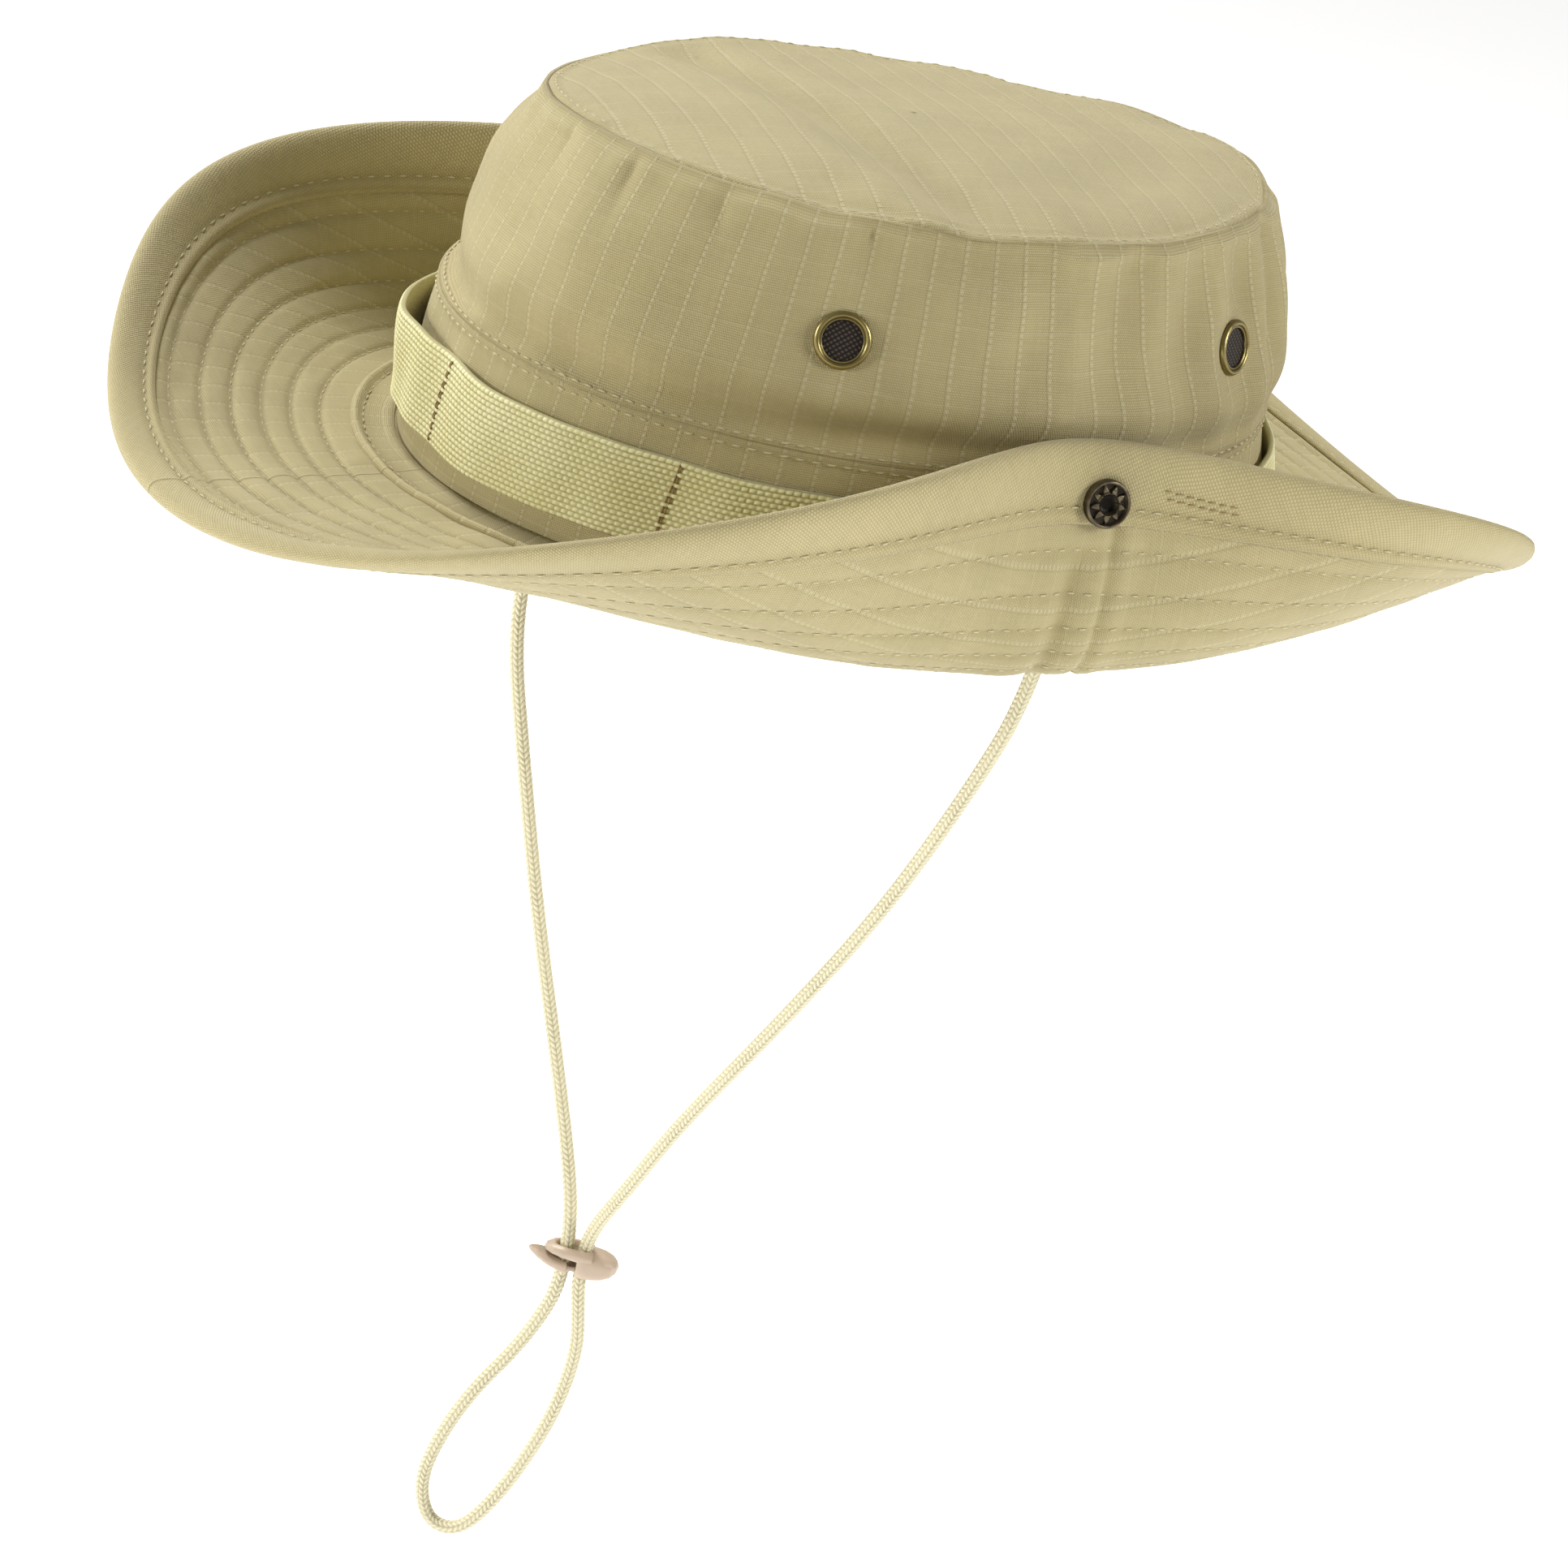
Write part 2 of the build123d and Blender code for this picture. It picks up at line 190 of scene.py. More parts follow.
# ---- materials ----
class Graph:
    """A procedural material with short calls for its nodes."""

    def __init__(self, name):
        self.material = bpy.data.materials.new(name)
        self.material.use_nodes = True
        self.tree = self.material.node_tree
        self.tree.nodes.clear()
        self.shader = self.tree.nodes.new("ShaderNodeBsdfPrincipled")
        out = self.tree.nodes.new("ShaderNodeOutputMaterial")
        self.tree.links.new(self.shader.outputs[0], out.inputs["Surface"])

    def feed(self, socket, value):
        if isinstance(value, bpy.types.NodeSocket):
            self.tree.links.new(value, socket)
        elif value is not None:
            socket.default_value = value

    def math(self, op, a, b=None, clamp=False):
        n = self.tree.nodes.new("ShaderNodeMath")
        n.operation, n.use_clamp = op, clamp
        self.feed(n.inputs[0], a)
        self.feed(n.inputs[1], b)
        return n.outputs[0]

    def mul(self, a, b):
        return self.math("MULTIPLY", a, b)

    def add(self, a, b):
        return self.math("ADD", a, b)

    def wave(self, x, pitch):
        """Sine from 0 to 1 with a pitch in metres."""
        s = self.math("SINE", self.mul(x, 2 * math.pi / pitch))
        return self.add(self.mul(s, 0.5), 0.5)

    def hump(self, x, pitch):
        """Rounded humps from 0 to 1, a pitch apart, metres."""
        return self.math("ABSOLUTE", self.math("SINE", self.mul(x, math.pi / pitch)))

    def plain_weave(self, u, v, warp, weft):
        """Thread floats in rows, each row set over by half a thread."""
        row = self.math("FLOOR", self.mul(v, 1 / weft))
        shifted = self.add(u, self.mul(self.math("MODULO", row, 2.0), warp / 2))
        return self.math("POWER", self.mul(self.hump(shifted, warp), self.hump(v, weft)), 0.55)

    def line(self, x, pitch, width):
        """1 on thin lines a pitch apart, 0 between them, metres."""
        off = self.math("ABSOLUTE", self.math("SUBTRACT", self.math("FRACT", self.mul(x, 1 / pitch)), 0.5))
        return self.math("SUBTRACT", 1.0, self.mul(off, pitch / (width / 2)), clamp=True)

    def uv(self):
        n = self.tree.nodes.new("ShaderNodeUVMap")
        n.uv_map = "cloth"
        sep = self.tree.nodes.new("ShaderNodeSeparateXYZ")
        self.tree.links.new(n.outputs[0], sep.inputs[0])
        return n.outputs[0], sep.outputs[0], sep.outputs[1]

    def place(self):
        n = self.tree.nodes.new("ShaderNodeTexCoord")
        sep = self.tree.nodes.new("ShaderNodeSeparateXYZ")
        self.tree.links.new(n.outputs["Object"], sep.inputs[0])
        return n.outputs["Object"], sep.outputs[0], sep.outputs[1], sep.outputs[2]

    def attribute(self, name):
        n = self.tree.nodes.new("ShaderNodeAttribute")
        n.attribute_name = name
        return n.outputs["Fac"]

    def noise(self, vector, scale, detail=2.0, stretch=None):
        n = self.tree.nodes.new("ShaderNodeTexNoise")
        n.inputs["Scale"].default_value = scale
        n.inputs["Detail"].default_value = detail
        if stretch:
            m = self.tree.nodes.new("ShaderNodeMapping")
            m.inputs["Scale"].default_value = stretch
            self.tree.links.new(vector, m.inputs[0])
            vector = m.outputs[0]
        self.tree.links.new(vector, n.inputs["Vector"])
        return n.outputs[0]

    def ramp(self, value, stops):
        n = self.tree.nodes.new("ShaderNodeValToRGB")
        while len(n.color_ramp.elements) < len(stops):
            n.color_ramp.elements.new(0.5)
        for e, (pos, col) in zip(n.color_ramp.elements, stops):
            e.position, e.color = pos, (*col, 1)
        self.tree.links.new(value, n.inputs[0])
        return n.outputs[0]

    def mix(self, fac, a, b):
        n = self.tree.nodes.new("ShaderNodeMix")
        n.data_type = "RGBA"
        self.feed(n.inputs[0], fac)
        self.feed(n.inputs[6], a if isinstance(a, bpy.types.NodeSocket) else (*a, 1))
        self.feed(n.inputs[7], b if isinstance(b, bpy.types.NodeSocket) else (*b, 1))
        return n.outputs[2]

    def bump(self, height, distance, strength=1.0):
        n = self.tree.nodes.new("ShaderNodeBump")
        n.inputs["Strength"].default_value = strength
        n.inputs["Distance"].default_value = distance
        self.tree.links.new(height, n.inputs["Height"])
        return n.outputs[0]

    def finish(self, color, normal, rough=0.85, metallic=0.0, sheen=0.0, specular=0.25):
        s = self.shader.inputs
        self.feed(s["Base Color"], color)
        self.feed(s["Normal"], normal)
        self.feed(s["Roughness"], rough)
        s["Metallic"].default_value = metallic
        s["Sheen Weight"].default_value = sheen
        s["Sheen Roughness"].default_value = 0.5
        s["Specular IOR Level"].default_value = specular
        return self.material


KHAKI, KHAKI_DARK, KHAKI_LIGHT = (0.60, 0.52, 0.275), (0.27, 0.205, 0.07), (0.72, 0.65, 0.41)


def ripstop(name, body=KHAKI, dark=KHAKI_DARK, light=KHAKI_LIGHT, lines=1.0):
    """Plain-woven cloth with a beaded ripstop line in one direction and a faint one across it."""
    g = Graph(name)
    vec, u, v = g.uv()
    drift = g.mul(g.math("SUBTRACT", g.noise(vec, 60.0), 0.5), 0.0011)
    u, v = g.add(u, drift), g.add(v, drift)
    weave = g.plain_weave(u, v, 0.00056, 0.00048)
    slub = g.noise(vec, 900.0, 1.0, stretch=(0.12, 1.0, 1.0))
    slub_up = g.noise(vec, 900.0, 1.0, stretch=(1.0, 0.12, 1.0))
    bead = g.mul(g.math("POWER", g.line(u, 0.0077, 0.00115), 0.6), g.math("POWER", g.hump(v, 0.00146), 1.2))
    cross = g.line(v, 0.0077, 0.0006)
    mottled = g.noise(vec, 45.0, 3.0)
    tone = g.ramp(g.add(g.mul(mottled, 0.55), g.mul(g.add(slub, slub_up), 0.225)),
        [(0.3, [c * 0.84 for c in body]), (0.62, body)])
    tone = g.mix(g.mul(g.math("SUBTRACT", 1.0, weave), 0.60), tone, dark)
    tone = g.mix(g.mul(bead, 0.48 * lines), tone, light)
    tone = g.mix(g.mul(cross, 0.16 * lines), tone, light)
    gap = g.mul(g.line(g.add(u, 0.00062), 0.0077, 0.0005), 0.3 * lines)
    tone = g.mix(gap, tone, dark)
    # painted shade: the shade attribute darkens the cloth towards the dark tone in creases, seam grooves and
    # on inside faces
    tone = g.mix(g.mul(g.attribute("shade"), 0.75), tone, dark)
    height = g.add(weave, g.add(g.mul(bead, 1.6 * lines), g.mul(cross, 0.5 * lines)))
    height = g.add(height, g.mul(g.add(slub, slub_up), 0.5))
    return g.finish(tone, g.bump(height, 0.00013, 0.9), 0.78, sheen=0.22, specular=0.35)


def thread(name, body, dark):
    """Twisted sewing thread or yarn, with painted shade at its ends where they sink into the cloth."""
    g = Graph(name)
    vec, *_ = g.place()
    fine = g.noise(vec, 2600.0, 1.0)
    tone = g.mix(fine, [c * 0.8 for c in body], body)
    tone = g.mix(g.mul(g.attribute("shade"), 0.8), tone, dark)
    return g.finish(tone, g.bump(fine, 0.00008, 0.7), 0.7, sheen=0.15)


def webbing_material():
    g = Graph("webbing_weave")
    vec, *_ = g.uv()
    fibre = g.noise(vec, 2400.0, 1.0, stretch=(0.25, 1.0, 1.0))
    mottled = g.noise(vec, 70.0, 2.0)
    tone = g.ramp(g.add(g.mul(fibre, 0.5), g.mul(mottled, 0.5)),
        [(0.3, (0.74, 0.69, 0.33)), (0.65, (0.93, 0.90, 0.55))])
    # painted shade from the shade attribute, in the hollows of the weave
    tone = g.mix(g.mul(g.attribute("shade"), 0.9), tone, (0.30, 0.255, 0.085))
    return g.finish(tone, g.bump(fibre, 0.00012, 0.8), 0.62, sheen=0.2, specular=0.35)


def cord_material():
    g = Graph("cord_braid")
    vec, *_ = g.uv()
    fibre = g.noise(vec, 2500.0, 1.0, stretch=(1.0, 0.3, 1.0))
    tone = g.mix(fibre, (0.66, 0.60, 0.40), (0.88, 0.83, 0.62))
    # painted shade from the shade attribute, in the grooves between the yarns
    tone = g.mix(g.mul(g.attribute("shade"), 0.85), tone, (0.40, 0.35, 0.17))
    return g.finish(tone, g.bump(fibre, 0.00010, 0.8), 0.6, sheen=0.15, specular=0.35)


def metal(name, body, worn, rough, scale=500.0):
    """Old plated brass: painted shade in the hollows from the shade attribute, worn bright on patches."""
    g = Graph(name)
    vec, *_ = g.place()
    patch, fine = g.noise(vec, scale, 3.0), g.noise(vec, scale * 5, 2.0)
    tone = g.ramp(patch, [(0.35, body), (0.75, worn)])
    # painted shade: the shade attribute darkens hollows and bores almost to black
    tone = g.mix(g.attribute("shade"), tone, [c * 0.12 for c in body])
    roughness = g.add(g.mul(fine, 0.25), rough)
    return g.finish(tone, g.bump(g.add(patch, fine), 0.00006, 0.5), roughness, metallic=0.85, specular=0.5)


def vent_mesh_material():
    g = Graph("vent_mesh_weave")
    _, _, y, z = g.place()
    a, b = g.add(g.mul(y, 0.78), g.mul(z, 0.62)), g.add(g.mul(y, -0.62), g.mul(z, 0.78))
    over = g.wave(a, 0.00085)
    under = g.wave(b, 0.00085)
    weave = g.mul(g.math("POWER", over, 0.8), under)
    tone = g.mix(weave, (0.008, 0.005, 0.004), (0.115, 0.085, 0.065))
    return g.finish(tone, g.bump(weave, 0.00018, 1.0), 0.6, specular=0.3)


def plastic(name, body, dark):
    """Moulded plastic with a faint satin skin and painted shade in its hollows."""
    g = Graph(name)
    vec, *_ = g.place()
    cloud, skin = g.noise(vec, 160.0, 3.0), g.noise(vec, 3500.0, 1.0)
    tone = g.ramp(cloud, [(0.3, [c * 0.9 for c in body]), (0.7, body)])
    tone = g.mix(g.attribute("shade"), tone, dark)
    roughness = g.add(g.mul(cloud, 0.2), 0.28)
    return g.finish(tone, g.bump(skin, 0.00003, 0.35), roughness, specular=0.5)


CLOTH = ripstop("ripstop_cloth")
BRIM_CLOTH = ripstop("ripstop_brim", lines=0.75)
EDGE_CLOTH = ripstop("ripstop_edge", lines=0.0)
LINING = ripstop("lining_twill", body=(0.50, 0.43, 0.24), lines=0.0)
THREAD = thread("thread_khaki", (0.70, 0.63, 0.38), (0.12, 0.08, 0.03))
THREAD_PALE_BROWN = thread("thread_tan", (0.47, 0.35, 0.15), (0.12, 0.07, 0.02))
THREAD_DARK = thread("thread_brown", (0.36, 0.25, 0.10), (0.10, 0.06, 0.02))
WEBBING = webbing_material()
CORD = cord_material()
BRASS = metal("antique_brass", (0.30, 0.235, 0.085), (0.40, 0.33, 0.135), 0.22, 220.0)
WASHER = metal("dull_brass", (0.30, 0.24, 0.11), (0.48, 0.39, 0.18), 0.35)
BRONZE = metal("dark_bronze", (0.085, 0.068, 0.045), (0.24, 0.195, 0.115), 0.3, 420.0)
STEEL = metal("spring_wire", (0.35, 0.35, 0.34), (0.55, 0.55, 0.53), 0.25)
VENT_MESH = vent_mesh_material()
LOCK = plastic("lock_plastic", (0.565, 0.445, 0.335), (0.2, 0.15, 0.1))


# ---- chin cord ----
CORD_D = 3.4
CORD_ROUTE = [
    (-78.2, -14, -1), (-79, -20, -19), (-79.5, -26.5, -42), (-78, -28.5, -70),
    (-72, -21.5, -104), (-65.5, -14, -139), (-58.5, -4.5, -176), (-53, 2.5, -205),
    (-51, 4.7, -220), (-51, 4.7, -234), (-54, 4, -244), (-59.5, 1, -258),
    (-66.5, -4.5, -273.5), (-72, -8, -290), (-75, -9, -304), (-73.5, -5.5, -315),
    (-67.5, 0.5, -315), (-62, 5, -304), (-57, 9, -289), (-52, 12, -271),
    (-49, 12.5, -253), (-48.5, 10, -241), (-48.8, 8.5, -233), (-48.8, 8.5, -220),
    (-34, 7.2, -200), (-18, 8.3, -173), (8, 12, -134), (35, 15, -92),
    (58, 15.5, -50), (72.5, 14.5, -21), (78.2, 12, -1),
]


def cord_line():
    """Points, in mm, along the smooth spline that has the route's points as control points."""
    data = bpy.data.curves.new("route", "CURVE")
    data.dimensions = "3D"
    spline = data.splines.new("NURBS")
    spline.points.add(len(CORD_ROUTE) - 1)
    for point, place in zip(spline.points, CORD_ROUTE):
        point.co = (*(c * MM for c in place), 1)
    spline.order_u = 3
    spline.use_endpoint_u = True
    spline.resolution_u = 24
    ob = bpy.data.objects.new("route", data)
    scene.collection.objects.link(ob)
    me = bpy.data.meshes.new_from_object(ob)
    line = np.array([v.co for v in me.vertices], float) / MM
    bpy.data.objects.remove(ob)
    bpy.data.meshes.remove(me)
    bpy.data.curves.remove(data)
    return line


def even_points(line, step, closed=False):
    """Evenly spaced points along a fine line, with their distances."""
    if closed:
        line = np.concatenate([line, line[:1]])
    along = travelled(line)
    count = max(2, int(round(along[-1] / step)))
    at = np.linspace(0, along[-1], count + 1)
    if closed:
        at = at[:-1]
    return np.stack([np.interp(at, along, line[:, k]) for k in range(3)], -1), at, along[-1]


def moving_frames(points):
    """Two unit vectors across a line at each of its points, with no twist."""
    tangent = unit(np.gradient(points, axis=0))
    side = np.zeros_like(points)
    side[0] = unit(np.cross(tangent[0], (0.3, 1.0, 0.2)))
    for i in range(1, len(points)):
        flat = side[i - 1] - tangent[i] * (side[i - 1] @ tangent[i])
        side[i] = flat / np.linalg.norm(flat)
    return side, np.cross(tangent, side)


def make_cord():
    """Braided tube: columns of slanted yarns that meet in chevrons."""
    line = cord_line()
    points, at, length = even_points(line, 0.22)
    side, other = moving_frames(points)
    columns, around = 8, 48
    pitch = 1.55
    turn = np.arange(around) / around * 2 * np.pi
    place = turn / (2 * np.pi) * columns
    column, across = np.floor(place).astype(int), place % 1
    slant = np.where(column % 2 == 0, across, 1 - across)
    phase = at[:, None] / pitch + slant[None, :] * 0.85
    yarn = np.abs(np.sin(np.pi * phase)) ** 0.55
    ridge = np.sin(np.pi * across) ** 0.45
    relief = yarn * (0.35 + 0.65 * ridge[None, :])
    radius = CORD_D / 2 - 0.30 + 0.40 * relief
    P = (points[:, None] + side[:, None] * (np.cos(turn)[None, :, None] * radius[..., None])
         + other[:, None] * (np.sin(turn)[None, :, None] * radius[..., None]))
    UV = np.stack(grid(at, np.linspace(0, 2 * np.pi, around + 1) * CORD_D / 2), -1)
    # painted shade: darker in the grooves between the braided yarns
    shade = np.clip(1.15 - relief * 1.45, 0, 1)
    ob = grid_mesh("chin_cord_braid", P, UV, CORD, shade, wrap_v=True, caps=True)
    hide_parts("chin_cord")
    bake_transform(ob)
    make_lock()


# ---- crown ----
BASE_LONG, BASE_WIDE, TOP_LONG, TOP_WIDE, TOP_SHIFT = 102.0, 83.0, 84.0, 73.0, 1.0
CROWN_HEIGHT, BULGE_LONG, BULGE_WIDE, DOME, FABRIC = 83.0, 3.5, 4.6, 4.0, 1.2
BAND_SEAM = 34.7
MEAN_RADIUS, TOP_MEAN_RADIUS = 92, 78
LAST_ROW = 0.14
VENT_ANGLES, VENT_HEIGHT = np.radians([-32.0, 32.0, 148.0, 212.0]), 59.0
SNAP_WALL_ANGLES, SNAP_WALL_HEIGHT = np.radians([3.5, 176.5]), 36.0
DEG = math.pi / 180

drape_wide, drape, drape_fine = Noise(3, 9), Noise(5, 22), Noise(7, 52)
pucker_seam, pucker_band, sag_noise = Noise(11, 46), Noise(13, 60), Noise(17, 8)


def angle_gap(a, b):
    return (a - b + np.pi) % (2 * np.pi) - np.pi


def form_shift(th, z):
    """How the soft crown has settled: tucked in low at the back, fuller high at the front."""
    tuck = -4.5 * bell(angle_gap(th, 80 * DEG), 42 * DEG) * bell(z - 32, 17)
    full = 2.4 * bell(angle_gap(th, -85 * DEG), 45 * DEG) * bell(z - 66, 15)
    full = full + 1.2 * bell(angle_gap(th, 60 * DEG), 35 * DEG) * bell(z - 66, 12)
    return tuck + full


def seam_wobble(th):
    return 0.9 * drape(th, 13.0) + 0.35 * pucker_seam(th, 13.0)


def crown_axes(z):
    k = z / CROWN_HEIGHT
    swell = 4 * k * (1 - k)
    long_r = BASE_LONG + (TOP_LONG - BASE_LONG) * k + BULGE_LONG * swell
    wide_r = BASE_WIDE + (TOP_WIDE - BASE_WIDE) * k + BULGE_WIDE * swell
    return long_r, wide_r, TOP_SHIFT * k


def far_sag(x, z):
    """The unlit side of the crown has settled a little below the near side."""
    return -5.5 * smooth((18 - x) / 85) * smooth((z - 64) / 19)


def hardware_calm(th, z):
    """0 at the vents and snap studs, so the cloth lies where the metal holds it, and 1 elsewhere."""
    calm = np.ones(np.broadcast(th, z).shape)
    spots = [(a, VENT_HEIGHT, 9.5) for a in VENT_ANGLES] + [(a, SNAP_WALL_HEIGHT,
        6.0) for a in SNAP_WALL_ANGLES]
    for angle, height, size in spots:
        d = np.hypot(angle_gap(th, angle) * 90, z - height) / size
        calm = calm * (1 - np.exp(-d ** 4))
    return calm


def crown_wrinkle(th, z):
    """How far the side panel's cloth stands off its smooth form."""
    up = z / 30
    lean = th + z * 0.0022
    form = 2.0 * drape_wide(lean, up * 0.8) + 2.0 * drape(lean,
        up * 0.9) + 0.6 * drape_fine(th - z * 0.004, up * 1.4)
    folds = np.sin(th * 27 + z * 0.02 + 2 * drape_wide(th, z / 40)) * bell(angle_gap(th, 42 * DEG), 34 * DEG)
    form = form + 2.1 * folds * bell(z - 60, 18)
    near_top = CROWN_HEIGHT - z
    ridges = np.abs(pucker_seam(th + z * 0.001, 2.0 + z * 0.01)) ** 0.6 - 0.55
    gather = ridges * (2.0 + 1.0 * drape(th, 31.0)) * bell(near_top - 2.5, 9.0)
    gather = gather + 0.7 * pucker_band(th, 5.0) * bell(near_top - 2, 5.0)
    low = z - BAND_SEAM
    sag = 0.35 + 0.65 * bell(angle_gap(th, -14 * DEG), 38 * DEG) + 0.22 * sag_noise(th, 0.5)
    fold = sag * (3.3 * bell(low - 14.0, 6.5) - 3.6 * bell(low - 4.8, 4.0))
    band_gather = 0.45 * pucker_band(th, 9.0) * bell(low - 2, 6.0)
    free = smooth(near_top / 5.0) * smooth(low / 3.0)
    return (form * 0.9 * free + fold * smooth(low / 2.0) + gather * smooth(near_top / 2.5) + band_gather
        * smooth(low / 1.5))


def crown_point(th, z, off=0.0):
    long_r, wide_r, shift = crown_axes(z)
    off = off + form_shift(th, z) * hardware_calm(th, z)
    x, y = (wide_r + off) * np.cos(th), shift + (long_r + off) * np.sin(th)
    return np.stack([x, y, z + far_sag(x, z) + seam_wobble(th) * smooth((z - 70) / 13)], -1)


def side_surface(th, z):
    shoulder = -1.5 * smooth((z - (CROWN_HEIGHT - 4)) / 4) ** 2
    return crown_point(th, z, 0.15 + crown_wrinkle(th, z) * hardware_calm(th, z) + shoulder)


def band_wrinkle(th, z):
    low = 0.55 * pucker_band(th, z / 14) + 0.45 * drape(th, z / 25 + 9)
    return low * smooth(z / 8) * smooth((BAND_SEAM - z) / 5)


def band_surface(th, z):
    ridge = 0.5 * bell(z - BAND_SEAM, 1.2)
    return crown_point(th, z, -0.1 + band_wrinkle(th, z) * hardware_calm(th, z) * 0.7 + ridge)


def oval_arc(th):
    """Distance round the base oval to each angle, in mm."""
    fine = np.linspace(-np.pi, 2 * np.pi, 6001)
    speed = np.hypot(92 * np.sin(fine), 98 * np.cos(fine))
    along = np.concatenate([[0], np.cumsum((speed[1:] + speed[:-1]) / 2 * np.diff(fine))])
    return np.interp(th, fine, along)


def band_uv(th, heights):
    """Cloth coordinates of a closed band: distance round it, and height."""
    return np.stack(grid(oval_arc(np.append(th, th[0] + 2 * np.pi)), heights), -1)


def shell(surface, th, z, name, material, shade_of):
    """A closed band of cloth: its outer face is the surface, and the other lies a cloth's thickness in."""
    TH, Z = grid(th, z)
    outer = surface(TH, Z)
    back = z[::-1]
    TB, ZB = grid(th, back)
    lining = surface(TB, ZB) - outward(TB) * FABRIC
    P = np.concatenate([outer, lining], 1)
    heights = np.concatenate([z, back])
    UV = band_uv(th, np.append(heights, z[0]))
    # painted shade: the inner face, inside the crown, is darkened evenly
    shade = np.concatenate([shade_of(TH, Z), np.full(TB.shape, 0.25)], 1)
    return grid_mesh(name, P, UV, material, shade, wrap_u=True, wrap_v=True)


def make_crown_walls():
    th = round_turn(640)
    z = np.concatenate([np.linspace(BAND_SEAM, 46, 16)[:-1], np.linspace(46, 72, 26)[:-1],
        np.linspace(72, CROWN_HEIGHT, 18)])

    def side_shade(TH, Z):
        # painted shade: darker in the creases of the wrinkles and in the grooves along the top seam and the
        # band seam
        crease = np.clip(-crown_wrinkle(TH, Z) * 0.10, 0, 0.25)
        return crease + 0.5 * bell(Z - CROWN_HEIGHT, 0.9) + 0.45 * bell(Z - BAND_SEAM, 0.8)

    panel = shell(side_surface, th, z, "crown_side_cloth", CLOTH, side_shade)
    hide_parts("crown_side_panel")
    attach(panel, "crown")
    zb = np.linspace(0.0, BAND_SEAM, 40)
    # painted shade: the band is darker along its bottom edge and in the groove at the band seam
    low = shell(band_surface, th, zb, "crown_band_cloth", CLOTH,
                lambda TH, Z: 0.35 * bell(Z, 2.5) + 0.3 * bell(Z - BAND_SEAM, 0.8))
    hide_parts("crown_lower_band")
    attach(low, "crown")


top_noise = Noise(23, 7)
TOP_GRAIN = 11.6 * DEG


def top_surface(th, r):
    """Top panel at an angle and a share of the way from its middle to its seam."""
    x, y = (TOP_WIDE - 1.1) * r * np.cos(th), TOP_SHIFT + (TOP_LONG - 1.1) * r * np.sin(th)
    dome = np.interp(r, [0, 0.2, 0.5, 0.78, 0.93, 1.0], [1, 1, 0.93, 0.7, 0.35, 0.0])
    rise = DOME * dome ** 0.9
    wave = 0.8 * top_noise(th, r * 3) * smooth(r * 1.4) * smooth((1 - r) * 5)
    crease = -2.6 * bell(y + 23 - 0.03 * x, 8.0) * smooth((1 - r) * 4) + 0.9 * bell(y + 38, 14.0)
    gather = 0.8 * np.maximum(pucker_seam(th, 2.8), -0.4) * bell((1 - r) * TOP_MEAN_RADIUS - 1.5, 7.0)
    gather = gather + seam_wobble(th) * smooth((r - 0.6) / 0.4)
    edge = 0.55 * bell((1 - r) * TOP_MEAN_RADIUS - 1.6, 1.3) - 0.5 * bell((1 - r) * TOP_MEAN_RADIUS, 0.7)
    z = CROWN_HEIGHT + rise + (wave + crease) * smooth((1 - r) * 9) + gather * smooth((1 - r) * 60) + edge
    return np.stack([x, y, z + far_sag(x, CROWN_HEIGHT) + 1.3 * smooth((30 - y) / 60)
        * smooth((1 - r) * 3) - 0.6], -1)


def make_top():
    th = round_turn(480)
    r = np.concatenate([np.linspace(0.004, 0.9, 62)[:-1], np.linspace(0.9, 1.0, 16)])
    TH, Rr = grid(th, r)
    outer = top_surface(TH, Rr)
    inner_r = np.linspace(0.99, 0.01, 8)
    TI, RI = grid(th, inner_r)
    inner = top_surface(TI, RI)
    inner[..., 2] -= FABRIC
    P = np.concatenate([outer, inner], 1)
    closed = np.concatenate([P, P[:1]], 0)
    closed = np.concatenate([closed, closed[:, :1]], 1)
    u = closed[..., 0] * math.sin(TOP_GRAIN) + closed[..., 1] * math.cos(TOP_GRAIN)
    v = closed[..., 0] * math.cos(TOP_GRAIN) - closed[..., 1] * math.sin(TOP_GRAIN)
    # painted shade: darker in the groove at the seam, and evenly on the inner face
    shade = np.concatenate([0.5 * bell((1 - Rr) * TOP_MEAN_RADIUS, 0.8), np.full(TI.shape, 0.25)], 1)
    top = grid_mesh("crown_top_cloth", P, np.stack([u, v], -1), CLOTH, shade, wrap_u=True,
        wrap_v=True)
    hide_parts("crown_top")
    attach(top, "crown")


# ---- webbing and sweatband ----
WEBBING_LOW, WEBBING_HIGH, WEBBING_THICK = 8.0, 27.5, 1.4
TACKS = np.radians([-90, -48, -6, 36, 78, 102, 144, 186, 228])
puff_noise = Noise(31, 18)


def webbing_lift(th, up):
    """How far the webbing stands off the band: held at each tack, loose and puffed between."""
    gap = np.min([np.abs(angle_gap(th, t)) for t in TACKS], axis=0)
    loose = 1 - np.exp(-(gap * MEAN_RADIUS / 9.0) ** 2)
    ripple = 0.9 + 0.55 * puff_noise(th, 3.0) + 0.35 * pucker_band(th, 12.0)
    gape = 3.2 * bell(angle_gap(th, -112 * DEG), 11 * DEG) * smooth(up)
    return 0.25 + loose * (ripple + gape + 0.35 * up)


def webbing_surface(th, z):
    up = (z - WEBBING_LOW) / (WEBBING_HIGH - WEBBING_LOW)
    drift = 0.5 * puff_noise(th, 8.0)
    p = crown_point(th, z, webbing_lift(th, up) + WEBBING_THICK)
    return p + np.stack([np.zeros_like(p[..., 0]), np.zeros_like(p[..., 0]),
        np.broadcast_to(drift, p.shape[:-1])], -1)


